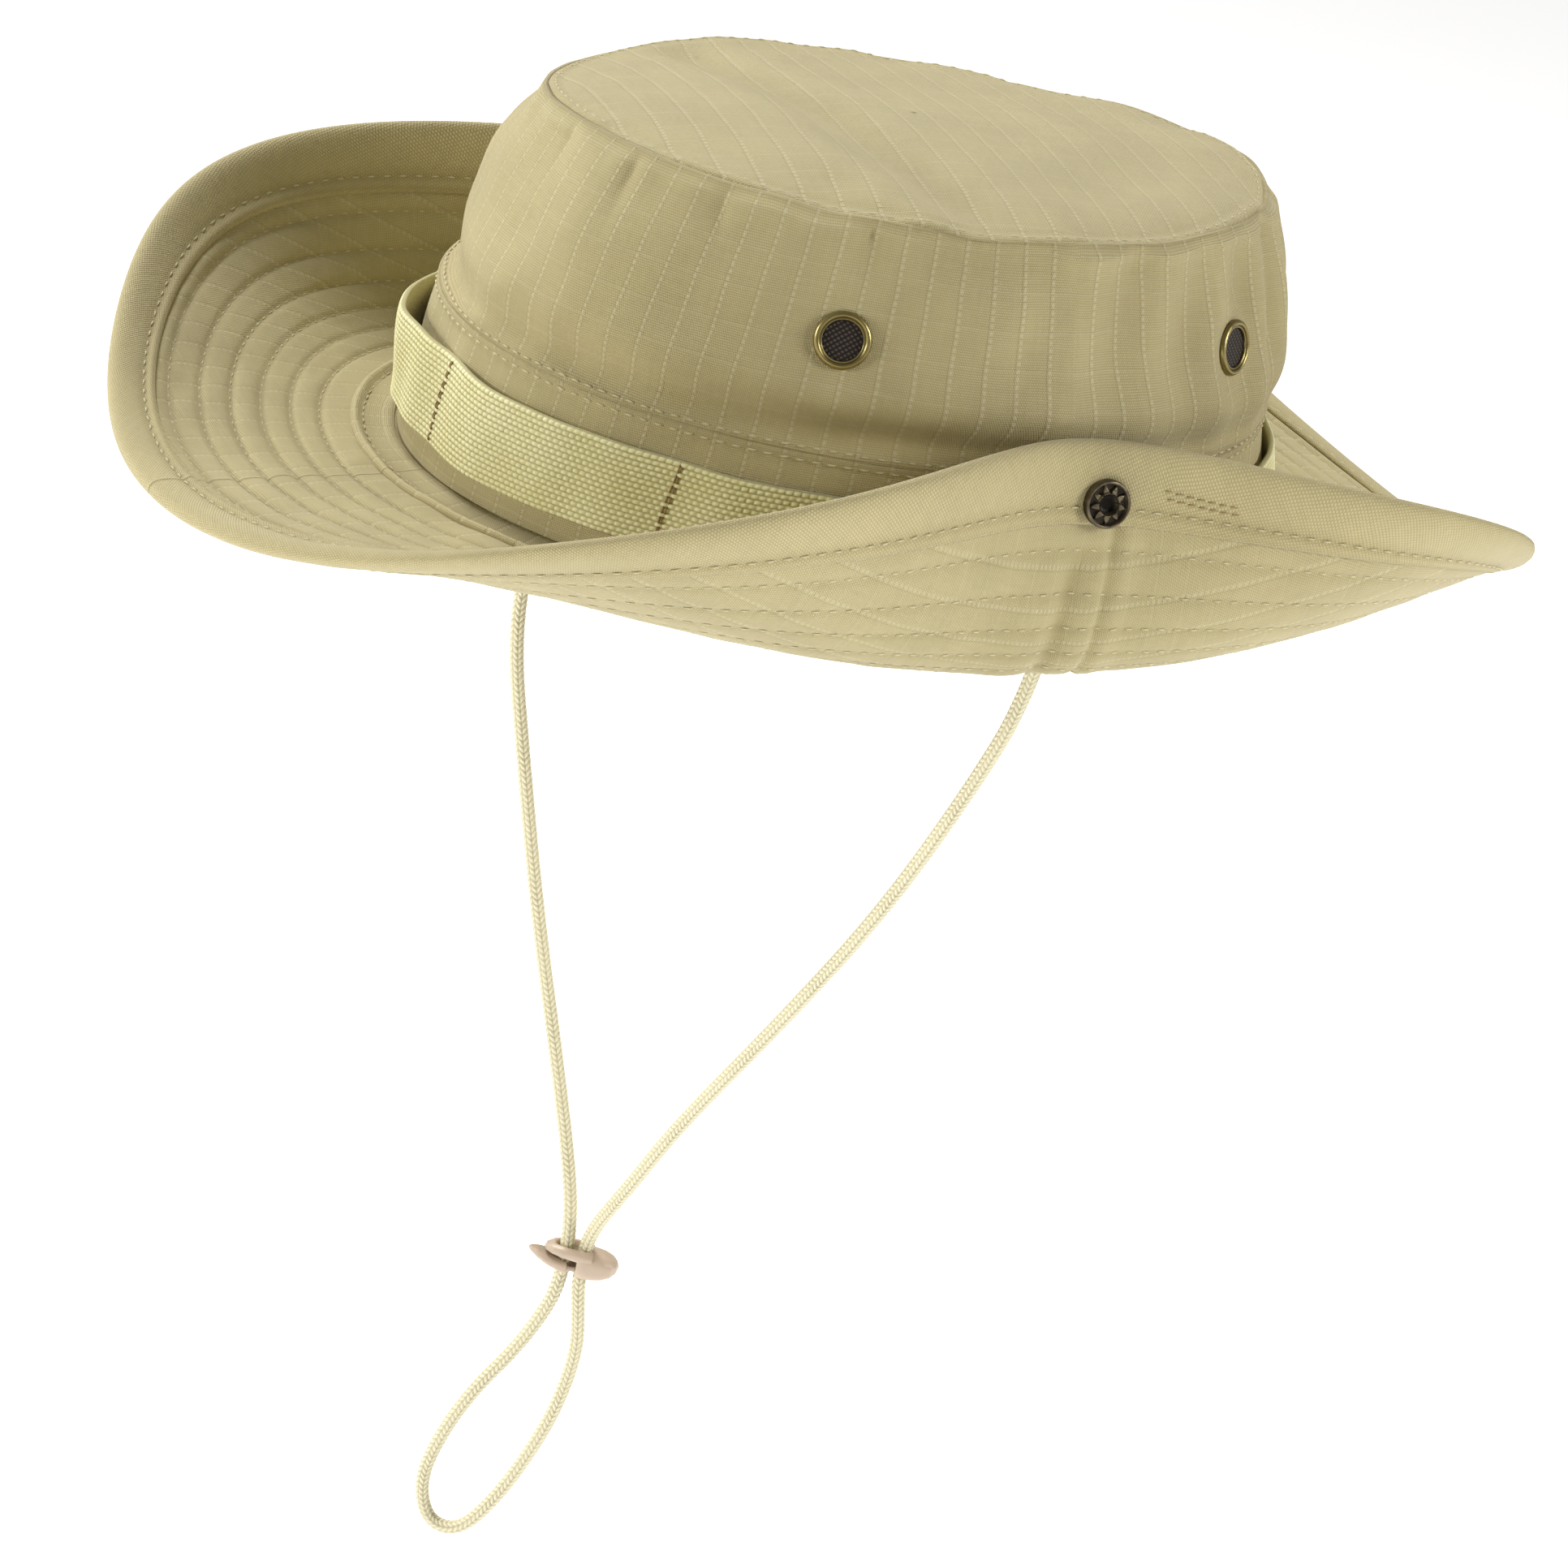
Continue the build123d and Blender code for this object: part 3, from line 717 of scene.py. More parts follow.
def make_webbing():
    th = round_turn(1800)
    rows = 17
    z = np.linspace(WEBBING_LOW, WEBBING_HIGH, rows * 4 + 1)
    TH, Z = grid(th, z)
    base = webbing_surface(TH, Z)
    arc = oval_arc(np.append(th, th[0] + 2 * np.pi))
    row = (Z - WEBBING_LOW) / (WEBBING_HIGH - WEBBING_LOW) * rows
    count = 2 * round(arc[-1] - arc[0]) / 3.3
    pos = (oval_arc(TH) - arc[0]) / (arc[-1] - arc[0]) * round(count)
    row_swell = np.abs(np.sin(np.pi * row)) ** 0.6
    bead = np.abs(np.sin(np.pi * (pos + 0.5 * (np.floor(row) % 2)))) ** 0.6 * row_swell
    edge = smooth(np.minimum(Z - WEBBING_LOW, WEBBING_HIGH - Z) / 0.5)
    out = outward(TH)
    outer = base + out * ((bead * 0.42 - 0.35) * edge - 0.5 * (1 - edge))[..., None]
    back = np.linspace(WEBBING_HIGH, WEBBING_LOW, 4)
    TB, ZB = grid(th, back)
    lining = webbing_surface(TB, ZB) - outward(TB) * (WEBBING_THICK - 0.1)
    P = np.concatenate([outer, lining], 1)
    UV = band_uv(th, np.concatenate([z, back, z[:1]]))
    # painted shade: darker in the hollows between the woven beads, and evenly on the back face
    shade = np.concatenate([np.clip(0.9 - bead * 1.25, 0, 1), np.full(TB.shape, 0.3)], 1)
    band = grid_mesh("webbing_weave", P, UV, WEBBING, shade, wrap_u=True, wrap_v=True)
    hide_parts("webbing_band")
    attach(band, "crown")


def make_sweatband():
    th = round_turn(420)
    z = np.concatenate([[0.6, 1.2], np.linspace(2.2, 26.5, 20), [27.3, 27.7]])
    TH, Z = grid(th, z)
    roll = -0.5 * bell(Z - 26.8, 1.2) - 0.35 * bell(Z - 1.2, 1.2)
    ripple = 0.3 * drape_fine(TH, Z / 20)
    inner = crown_point(TH, Z, -FABRIC - 1.5 + ripple + roll)
    back = z[::-6]
    TB, ZB = grid(th, back)
    P = np.concatenate([inner, crown_point(TB, ZB, -FABRIC - 0.1)], 1)
    UV = band_uv(th, np.concatenate([z, back, z[:1]]))
    band = grid_mesh("sweatband_cloth", P, UV, LINING, np.zeros(P.shape[:2]), wrap_u=True,
        wrap_v=True)
    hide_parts("sweatband")
    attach(band, "crown")


# ---- brim ----
BRIM_WIDTH, PLY = 67.5, 1.35
BINDING_FROM = 0.86
ROWS = [0.805, 0.70, 0.595, 0.49, 0.385, 0.28]
SIDE_SEAMS = np.radians([4.8, 175.2])
pucker_brim, pucker_slow, pucker_wide, edge_noise = Noise(41, 150), Noise(43, 64), Noise(47, 20), Noise(53,
    26)


def brim_root(a):
    return np.stack([BASE_WIDE * np.cos(a), BASE_LONG * np.sin(a), 0 * a], -1)


def brim_edge(a):
    reach = 141 - 31 * np.cos(2 * a) - 14 * np.cos(4 * a) - 4.5 * np.cos(6 * a) - 3.5 * np.sin(a)
    turn = a + DEG * (3.9 * np.sin(2 * a) + 2.5 * np.sin(4 * a))
    rise = 25.5 + 25 * np.cos(2 * a) - 3.5 * np.cos(4 * a) - 4.2 * bell(angle_gap(a, 84 * DEG), 26 * DEG)
    return np.stack([reach * np.cos(turn), reach * np.sin(turn), rise], -1)


def brim_middle(a, t):
    out = unit(np.stack([np.cos(a) / BASE_WIDE, np.sin(a) / BASE_LONG, 0 * a], -1))
    dip = (DEG * (-18 - 21 * np.cos(2 * a) - 6 * np.cos(4 * a)))[..., None]
    root = brim_root(a)
    bend = root + (out * np.cos(dip) + np.array([0, 0, 1.0]) * np.sin(dip)) * (0.44 * BRIM_WIDTH)
    t = t[..., None]
    return root * (1 - t) ** 2 + bend * 2 * t * (1 - t) + brim_edge(a) * t ** 2


def brim_axes(a, t):
    """Unit vectors out along the brim, round it, and up out of its upper face."""
    along = unit(brim_middle(a, t + 0.01) - brim_middle(a, t - 0.01))
    around = unit(brim_middle(a + 0.008, t) - brim_middle(a - 0.008, t))
    return along, around, unit(np.cross(along, around))


def brim_relief(a, t, face):
    """Height of a face above its smooth form: channels between the stitch rows, with puckers."""
    lines = [BINDING_FROM] + ROWS + [LAST_ROW]
    height = np.zeros(np.broadcast(a, t).shape)
    for k, (high, low) in enumerate(zip(lines, lines[1:])):
        f = (t - low) / (high - low)
        inside = (f >= 0) & (f <= 1)
        f = np.clip(f, 0, 1)
        channel = np.sin(np.pi * f) ** 0.55
        crimp = 0.30 * pucker_brim(a + 0.05 * t, k * 3.1 + 5 * face) + 0.55 * pucker_slow(a - 0.08 * t,
            k * 2.3 + 3 * face + 0.5)
        strength = 0.55 + 0.45 * pucker_wide(a, k + 7 * face)
        height = height + np.where(inside, channel * (0.42 + crimp * strength
            * (0.5 + 0.5 * np.sin(np.pi * f))), 0)
    for row in ROWS + [LAST_ROW]:
        height = height - 0.45 * bell((t - row) * BRIM_WIDTH, 0.8)
    return height * (1.1 if face > 0 else 0.42)


def side_seam_relief(a, t, face):
    """The join in the brim at each side, with the soft crease beside it on the under face."""
    height = np.zeros(np.broadcast(a, t).shape)
    for k, seam in enumerate(SIDE_SEAMS):
        turn = 1 if k == 0 else -1
        s = angle_gap(a, seam) * turn * (80 + 16 * t)
        height = height - 0.7 * bell(s, 0.9) + 0.4 * bell(s - 2.6, 1.8)
        crease = s + 6.5 + 3.0 * (0.75 - t)
        fade = smooth((0.84 - t) / 0.1) * smooth((t - 0.18) / 0.25)
        if face < 0:
            height = height + fade * (-1.0 * bell(crease, 2.0) + 0.5 * bell(crease - 5.0, 3.2) + 0.45
                * bell(crease + 6.5, 4.0))
        else:
            height = height + 0.5 * fade * bell(crease, 3.0)
    return height


def brim_surface(a, t, face):
    """A point on the upper (face 1) or under (face -1) cloth."""
    height = PLY * smooth((1.02 - t) / 0.05) * 0.9 + 0.1 + brim_relief(a, t, face) + side_seam_relief(a, t,
        face)
    return brim_middle(a, t) + brim_axes(a, t)[2] * (face * height)[..., None]


HALVES = {
    "left": (-np.pi / 2, "brim_left", (0.083, 0, 0), (0.0938, 0, 0.0054)),
    "right": (np.pi / 2, "brim_right", (-0.083, 0, 0), (-0.0938, 0, 0.0054)),
}


def hang_on_half(ob):
    """Bakes the piece's placement into its mesh."""
    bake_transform(ob)


def half_angles(half, count):
    return HALVES[half][0] + np.linspace(0, np.pi, count)


def make_brim_cloth(half):
    a = half_angles(half, 520)
    t = np.concatenate([np.linspace(-0.015, 0.24, 20)[:-1], np.linspace(0.24, 0.84, 62)[:-1],
        np.linspace(0.84, 0.985, 8)])
    A, T = grid(a, t)
    P = np.concatenate([brim_surface(A, T, 1), brim_surface(A, T[:, ::-1], -1)], 1)
    tt = np.concatenate([t, t[::-1], t[:1]])
    AA, TT = grid(a, tt)
    UV = np.stack([(BASE_WIDE + BRIM_WIDTH * TT) * np.cos(AA), (BASE_LONG + BRIM_WIDTH * TT) * np.sin(AA)],
        -1)
    # painted shade: darker in the grooves at the stitch rows and in the crease beside each side seam on the
    # under face
    relief = [brim_relief(A, T, 1), brim_relief(A, T[:, ::-1], -1)
        + np.minimum(side_seam_relief(A, T[:, ::-1], -1), 0)]
    shade = np.clip(np.concatenate(relief, 1) * -0.42 + 0.1, 0, 0.6)
    ob = grid_mesh(f"brim_{half}_cloth", P, UV, BRIM_CLOTH, shade, wrap_v=True, caps=True)
    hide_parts("brim_front_upper_ply", "brim_front_under_ply", "brim_back_upper_ply",
        "brim_back_under_ply",
                f"brim_{half}_upper_ply", f"brim_{half}_under_ply")
    hang_on_half(ob)


# outline of the edge binding: distance in from the edge, height over the brim's mid-surface
BINDING_OUTLINE = [
    (9.3, 1.25), (9.9, 1.5), (10.1, 1.95), (9.8, 2.4), (9.2, 2.6), (8.5, 2.45), (7.9, 2.05), (7.4, 1.85),
    (6.8, 2.0), (5.6, 2.2), (4.2, 2.25), (2.8, 2.2), (1.6, 1.95), (0.7, 1.5), (0.1, 0.85), (-0.15, 0.0),
]


def binding_loop():
    top = np.array(BINDING_OUTLINE)
    under = np.array([(0.1, 0.85), (0.7, 1.45), (1.6, 1.85), (2.8, 2.0), (4.2, 1.95), (5.6, 1.9),
        (6.8, 1.8), (7.4, 1.65),
                      (7.9, 1.8), (8.5, 1.95), (9.2, 1.9), (9.6, 1.6), (9.3, 1.2)]) * np.array([1, -1])
    return np.concatenate([top, under])


def binding_points(A, loop):
    e, h = np.broadcast_to(loop[:, 0], A.shape), np.broadcast_to(loop[:, 1], A.shape)
    t = 1 - e / BRIM_WIDTH
    wave = 0.16 * edge_noise(A, 1.0) * np.sign(h) + 0.12 * pucker_slow(A, 4.0 + np.sign(h)) * smooth(e / 4)
    mound = 0.55 * np.exp(-((angle_gap(A, 3 * DEG) * MEAN_RADIUS) ** 2 + (e - 6.75) ** 2) / 60)
    mound = mound + 0.55 * np.exp(-((angle_gap(A, 177 * DEG) * MEAN_RADIUS) ** 2 + (e - 6.75) ** 2) / 60)
    return brim_middle(A, t) + brim_axes(A, t)[2] * (h + wave + np.sign(h) * mound)[..., None]


def make_binding(half):
    a = half_angles(half, 520)
    loop = binding_loop()
    A = np.repeat(a[:, None], len(loop), 1)
    P = binding_points(A, loop)
    across = travelled(np.concatenate([loop, loop[:1]]))
    UV = np.stack(grid(a * 128, across), -1)
    UV = np.stack([UV[..., 0] + UV[..., 1], UV[..., 1] - UV[..., 0]], -1) * math.sqrt(0.5)
    # painted shade: darker in the stitch groove and along the step at the binding's inner edge
    shade = np.broadcast_to(0.45 * bell(loop[:, 0] - 7.4, 0.8) + 0.5 * bell(loop[:, 0] - 9.3, 0.3), A.shape)
    ob = grid_mesh(f"brim_{half}_binding_cloth", P, UV, EDGE_CLOTH, np.array(shade), wrap_v=True,
        caps=True)
    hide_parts("brim_front_binding", "brim_back_binding", f"brim_{half}_binding")
    hang_on_half(ob)


# outline of the collar ring: distance out from the crown, height over the brim's upper cloth
COLLAR_OUTLINE = [
    (0.2, 1.2), (0.6, 2.1), (2.5, 2.0), (5.0, 1.9), (7.2, 1.85), (8.2, 1.6), (8.9, 1.85), (9.5, 2.6),
    (10.3, 2.95), (11.1, 2.7), (11.6, 2.0), (11.5, 1.2), (8.0, 0.9), (4.0, 0.9),
]


def make_collar(half):
    a = half_angles(half, 420)
    loop = np.array(COLLAR_OUTLINE)
    A = np.repeat(a[:, None], len(loop), 1)
    D, H = np.broadcast_to(loop[:, 0], A.shape), np.broadcast_to(loop[:, 1], A.shape)
    T = D / BRIM_WIDTH
    wave = 0.22 * pucker_slow(A, 9.0) * (H > 1.3) * smooth(D / 3)
    P = brim_middle(A, T) + brim_axes(A, T)[2] * (H + wave)[..., None]
    across = travelled(np.concatenate([loop, loop[:1]]))
    UV = np.stack(grid(a * 100, across), -1)
    # painted shade: darker in the stitch groove and along the step at the collar's outer edge
    shade = np.array(np.broadcast_to(0.55 * bell(loop[:, 0] - 8.2, 0.6) + 0.6
        * bell(loop[:, 0] - 11.6, 0.3), A.shape))
    ob = grid_mesh(f"brim_{half}_collar_cloth", P, UV, CLOTH, shade, wrap_v=True, caps=True)
    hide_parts("brim_front_collar", "brim_back_collar")
    hang_on_half(ob)


# ---- stitches ----
STITCH, STITCH_GAP = 3.9, 1.0
stitch_rng = np.random.default_rng(61)


def stitch_mesh(name, centres, along, normal, length, radius, material, slot, lift=0.1):
    """Short arched threads, each with both ends sunk in the cloth."""
    n, rings, around = len(centres), 7, 6
    wobble = stitch_rng.normal(0, 1, (n, 3))
    side = np.cross(normal, along)
    along = unit(along + side * (wobble[:, :1] * 0.05))
    side = unit(np.cross(normal, along))
    s = np.linspace(-1, 1, rings)
    thick = radius * np.array([0.45, 0.85, 1.0, 1.0, 1.0, 0.85, 0.45])
    arch = np.array([-0.55, -0.12, 0.08, 0.14, 0.08, -0.12, -0.55]) * 0.8
    turn = np.arange(around) / around * 2 * np.pi
    mid = (centres[:, None] + along[:, None] * (s[None, :, None] * length / 2)
           + normal[:, None] * (lift + arch * (1 + 0.15 * wobble[:, 1:2]))[..., None])
    P = (mid[:, :, None] + side[:, None, None] * (np.cos(turn)[None, None, :, None]
        * thick[None, :, None, None])
         + normal[:, None, None] * (np.sin(turn)[None, None, :, None] * thick[None, :, None, None]))
    i, j = grid(np.arange(rings - 1), np.arange(around))
    quad = np.stack([i * around + j, i * around + (j + 1) % around, (i + 1) * around + (j + 1) % around,
        (i + 1) * around + j], -1)
    quads = quad.reshape(-1, 4)[None] + (np.arange(n) * rings * around)[:, None, None]
    caps = np.array([[5, 4, 3, 2, 1, 0], [36, 37, 38, 39, 40, 41]])[None] + (np.arange(n) * rings
        * around)[:, None, None]
    faces = quads.reshape(-1, 4).tolist() + caps.reshape(-1, 6).tolist()
    # painted shade: each stitch darkens towards its ends, where it sinks into the cloth
    ends = np.array([1.0, 0.55, 0.1, 0.0, 0.1, 0.55, 1.0])
    shade = np.broadcast_to(ends[None, :, None], (n, rings, around)).reshape(-1)
    return new_mesh(name, P.reshape(-1, 3), faces, material, None, shade)


def row_spots(curve, normals, pitch=STITCH, closed=False):
    """Evenly spaced stitch places on a fine line of points with normals."""
    if closed:
        curve, normals = np.concatenate([curve, curve[:1]]), np.concatenate([normals, normals[:1]])
    along = travelled(curve)
    count = int(along[-1] / pitch)
    at = (np.arange(count) + 0.5) * along[-1] / count
    pick = lambda m: np.stack([np.interp(at, along, m[:, k]) for k in range(3)], -1)
    ahead = np.stack([np.interp(at + 0.5, along, curve[:, k]) for k in range(3)], -1)
    behind = np.stack([np.interp(at - 0.5, along, curve[:, k]) for k in range(3)], -1)
    return pick(curve), unit(ahead - behind), unit(pick(normals))


def join_rows(rows):
    return [np.concatenate([r[k] for r in rows]) for k in range(3)]


def brim_row(half, t, face):
    a = half_angles(half, 1400)
    T = np.full_like(a, t)
    up = brim_axes(a, T)[2] * face
    return row_spots(brim_surface(a, T, face), up)


def binding_row(half, e, h):
    a = half_angles(half, 1400)
    loop = np.array([(e, h)])
    p = binding_points(a[:, None], loop)[:, 0]
    up = brim_axes(a, np.full_like(a, 1 - e / BRIM_WIDTH))[2] * np.sign(h)
    return row_spots(p, up)


def collar_row(half):
    a = half_angles(half, 1400)
    T = np.full_like(a, 8.2 / BRIM_WIDTH)
    up = brim_axes(a, T)[2]
    return row_spots(brim_middle(a, T) + up * 1.62, up)


def make_brim_stitches(half):
    rows = []
    for t in ROWS:
        rows += [brim_row(half, t, 1), brim_row(half, t, -1)]
    rows += [brim_row(half, LAST_ROW, -1), binding_row(half, 7.4, 1.86), binding_row(half, 7.4, -1.68),
        collar_row(half)]
    ob = stitch_mesh(f"brim_{half}_stitches", *join_rows(rows), STITCH - STITCH_GAP, 0.2, THREAD, "ripstop")
    hang_on_half(ob)


def wall_row(surface, z, pitch):
    th = round_turn(2400)
    Z = np.full_like(th, z)
    p = surface(th, Z)
    normal = unit(np.cross(surface(th + 0.004, Z) - surface(th - 0.004, Z),
        surface(th, Z + 0.4) - surface(th, Z - 0.4)))
    return row_spots(p, normal, pitch, closed=True)


def top_row(r):
    th = round_turn(2400)
    Rr = np.full_like(th, r)
    p = top_surface(th, Rr)
    normal = unit(np.cross(top_surface(th, Rr + 0.003) - top_surface(th, Rr - 0.003),
        top_surface(th + 0.004, Rr) - top_surface(th - 0.004, Rr)))
    return row_spots(p, normal, closed=True)


def make_crown_stitches():
    rim = stitch_mesh("crown_top_stitches", *top_row(0.972), STITCH - STITCH_GAP, 0.17, THREAD, "ripstop",
        lift=-0.03)
    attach(rim, "crown")
    rows = [wall_row(side_surface, BAND_SEAM + 1.1, pitch=3.4),
        wall_row(band_surface, BAND_SEAM - 1.5, pitch=3.4)]
    ob = stitch_mesh("crown_stitches", *join_rows(rows), STITCH - STITCH_GAP, 0.22, THREAD, "ripstop")
    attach(ob, "crown")
    tacks = []
    for k, tack in enumerate(TACKS):
        z = np.linspace(WEBBING_LOW + 0.3, WEBBING_HIGH - 0.3, 200)
        for shift in (0.0, 0.5):
            th = np.full_like(z, tack + shift / MEAN_RADIUS) + 0.005 * np.sin(z / 4
                + k) + shift * 0.006 * np.cos(z / 3)
            p = webbing_surface(th, z)
            out = outward(th)
            tacks.append(row_spots(p - out * 0.05, out, 2.3))
    ob = stitch_mesh("webbing_tack_stitches", *join_rows(tacks), 2.1, 0.22, THREAD_DARK, "webbing", lift=0.05)
    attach(ob, "crown")


def make_brim_tacks():
    """Back-tacked thread ends on the under face beside the near snap."""
    rows = []
    for offset in (0.0, 0.9):
        a = np.linspace(8.9, 15.6, 200) * DEG + offset * 0.006
        T = 0.933 - offset / BRIM_WIDTH - 0.008 * np.sin((a - 9 * DEG) * 14)
        up = -brim_axes(a, T)[2]
        rows.append(row_spots(brim_middle(a, T) + up * 1.93, up, 2.4))
    ob = stitch_mesh("brim_left_back_tack", *join_rows(rows), 2.3, 0.17, THREAD_PALE_BROWN, "ripstop",
        lift=0.02)
    hang_on_half(ob)


# ---- hardware pieces ----
def disc_piece(name, origin, axes, profile, material, around=96, shade=None):
    """A turned piece: a closed outline of (radius, height) points about the third axis."""
    turn = np.arange(around) / around * 2 * np.pi
    ring = axes[0] * np.cos(turn)[:, None] + axes[1] * np.sin(turn)[:, None]
    profile = np.array(profile)
    P = origin + ring[:, None] * profile[None, :, :1] + axes[2] * profile[None, :, 1:2]
    dark = np.zeros(P.shape[:2]) if shade is None else np.broadcast_to(shade, P.shape[:2])
    return grid_mesh(name, P, None, material, np.array(dark), wrap_u=True, wrap_v=True)


def vent_axes(th):
    p = crown_cad_point(th, VENT_HEIGHT)
    along = unit(crown_cad_point(th + 1 * DEG, VENT_HEIGHT) - p)
    up = crown_cad_point(th, VENT_HEIGHT + 1) - p
    out = unit(np.cross(along, up))
    return p, (along, np.cross(out, along), out)


def crown_cad_point(th, z):
    long_r, wide_r, shift = crown_axes(z)
    return np.array([wide_r * math.cos(th), shift + long_r * math.sin(th), z])


EYELET = [(4.9, -2.4), (4.9, 0.1), (6.0, 0.15), (6.15, 0.45), (6.08, 0.85), (5.8, 1.2), (5.4, 1.38),
    (5.05, 1.3), (4.85, 1.05),
          (4.72, 0.9), (4.6, 0.98), (4.45, 1.0), (4.33, 0.85), (4.3, 0.45), (4.3, -2.4)]
# painted shade on the rolled rim: darker where it meets the cloth, in the groove inside its roll and down the
# bore
EYELET_SHADE = [0, 0.5, 0.6, 0.35, 0.1, 0, 0, 0.1, 0.6, 0.75, 0.2, 0.05, 0.3, 0.8, 0.8]


def make_eyelets():
    for n, th in enumerate(VENT_ANGLES, 1):
        origin, axes = vent_axes(th)
        ob = disc_piece(f"vent_{n}_rolled_rim", origin, axes, EYELET, BRASS,
            shade=EYELET_SHADE)
        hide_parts(f"vent_{n}_eyelet")
        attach(ob, "crown")


SNAP_AT, SNAP_TEETH = 0.90, 9


def make_prong_ring(half):
    """The pronged half of the snap: a domed ring round a star of turned-back prongs and a bore painted dark
    as shade.
    """
    a = np.array([3 * DEG if half == "left" else 177 * DEG])
    along, around, up = (v[0] for v in brim_axes(a, np.array([SNAP_AT])))
    origin = brim_middle(a, np.array([SNAP_AT]))[0]
    out = -up
    turn = np.arange(216) / 216 * 2 * np.pi
    r = np.concatenate([[0.05, 1.0, 1.9], np.linspace(2.25, 4.5, 20), np.linspace(4.6, 5.3, 8), [5.3, 5.25]])
    TT, Rr = grid(turn, r)
    tooth = np.abs((TT / (2 * np.pi) * SNAP_TEETH) % 1 - 0.5) * 2
    prong = smooth((0.95 - 0.85 * (Rr - 2.4) / 1.9 - tooth) / 0.16) * (Rr > 2.2) * (Rr < 4.45)
    h = np.where(Rr < 2.1, 2.75, 3.05) + 0.75 * prong * bell(Rr - 3.2, 1.6)
    h = h + 0.5 * bell(Rr - 2.5, 0.22)
    dome = np.sqrt(np.clip(1 - ((Rr - 4.85) / 0.5) ** 2, 0, 1))
    h = np.where(Rr > 4.42, 3.1 + 0.95 * dome, h)
    h[:, -1] = 2.0
    P = origin + along * (Rr * np.cos(TT))[..., None] + around * (Rr * np.sin(TT))[...,
        None] + out * h[..., None]
    # painted shade: darkest in the bore, dark in the recesses between the prongs and at the foot of the domed
    # ring; the raised lip, the prongs and the ring's crown are left lighter, as rubbed metal
    shade = np.where(Rr < 2.1, 1.0, 0.75 - 0.75 * prong * bell(Rr - 3.0, 1.5))
    shade = np.where(Rr > 4.42, 0.35 - 0.3 * dome, shade)
    shade = np.where(np.abs(Rr - 2.5) < 0.25, 0.1, shade)
    ob = grid_mesh(f"snap_{half}_prong_star", P, None, BRONZE, shade, wrap_u=True)
    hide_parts(f"snap_{half}_prong_ring")
    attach(ob, f"brim_{half}")


LOCK_AT = np.array([-49.9, 6.6, -227.0])
LOCK_U = np.array([0.52, 0.854, 0.0]) / math.hypot(0.52, 0.854)
LOCK_W = np.array([LOCK_U[1], -LOCK_U[0], 0.0])
LOCK_Z = np.array([0.0, 0.0, 1.0])


def squarish(around):
    """Points round a circle pushed out towards a square."""
    turn = np.arange(around) / around * 2 * np.pi
    return [np.sign(x) * np.abs(x) ** 0.72 for x in (np.cos(turn), np.sin(turn))]


def lock_ring(u, half_width, low, high, around=56):
    """One squarish ring of points across the lock, at a distance along it."""
    across, up = squarish(around)
    height = (high + low) / 2 + (high - low) / 2 * up
    return LOCK_AT + u * LOCK_U + (half_width * across)[:, None] * LOCK_W + height[:, None] * LOCK_Z


def lock_loft(stations, count=72, around=56):
    """A rounded body along the lock: stations of (u, half width, low, high)."""
    stations = np.array(stations)
    knot = np.linspace(0, 1, len(stations))
    fine = 0.5 - 0.5 * np.cos(np.linspace(0, np.pi, count))
    u, w, low, high = (np.interp(fine, knot, stations[:, k]) for k in range(4))
    for row in (w, low, high):
        row[1:-1] = (row[:-2] + 2 * row[1:-1] + row[2:]) / 4
    across, up = squarish(around)
    W = w[:, None] * across[None]
    Z = (high + low)[:, None] / 2 + (high - low)[:, None] / 2 * up[None]
    U = np.broadcast_to(u[:, None], W.shape)
    slot = smooth((1 - np.hypot(U / 5.2, W / 2.6)) / 0.22)
    Z = np.where(Z > (high + low)[:, None] / 2, np.maximum(Z - 2.2 * slot, (high + low)[:, None] / 2), Z)
    return LOCK_AT + U[..., None] * LOCK_U + W[..., None] * LOCK_W + Z[..., None] * LOCK_Z, slot


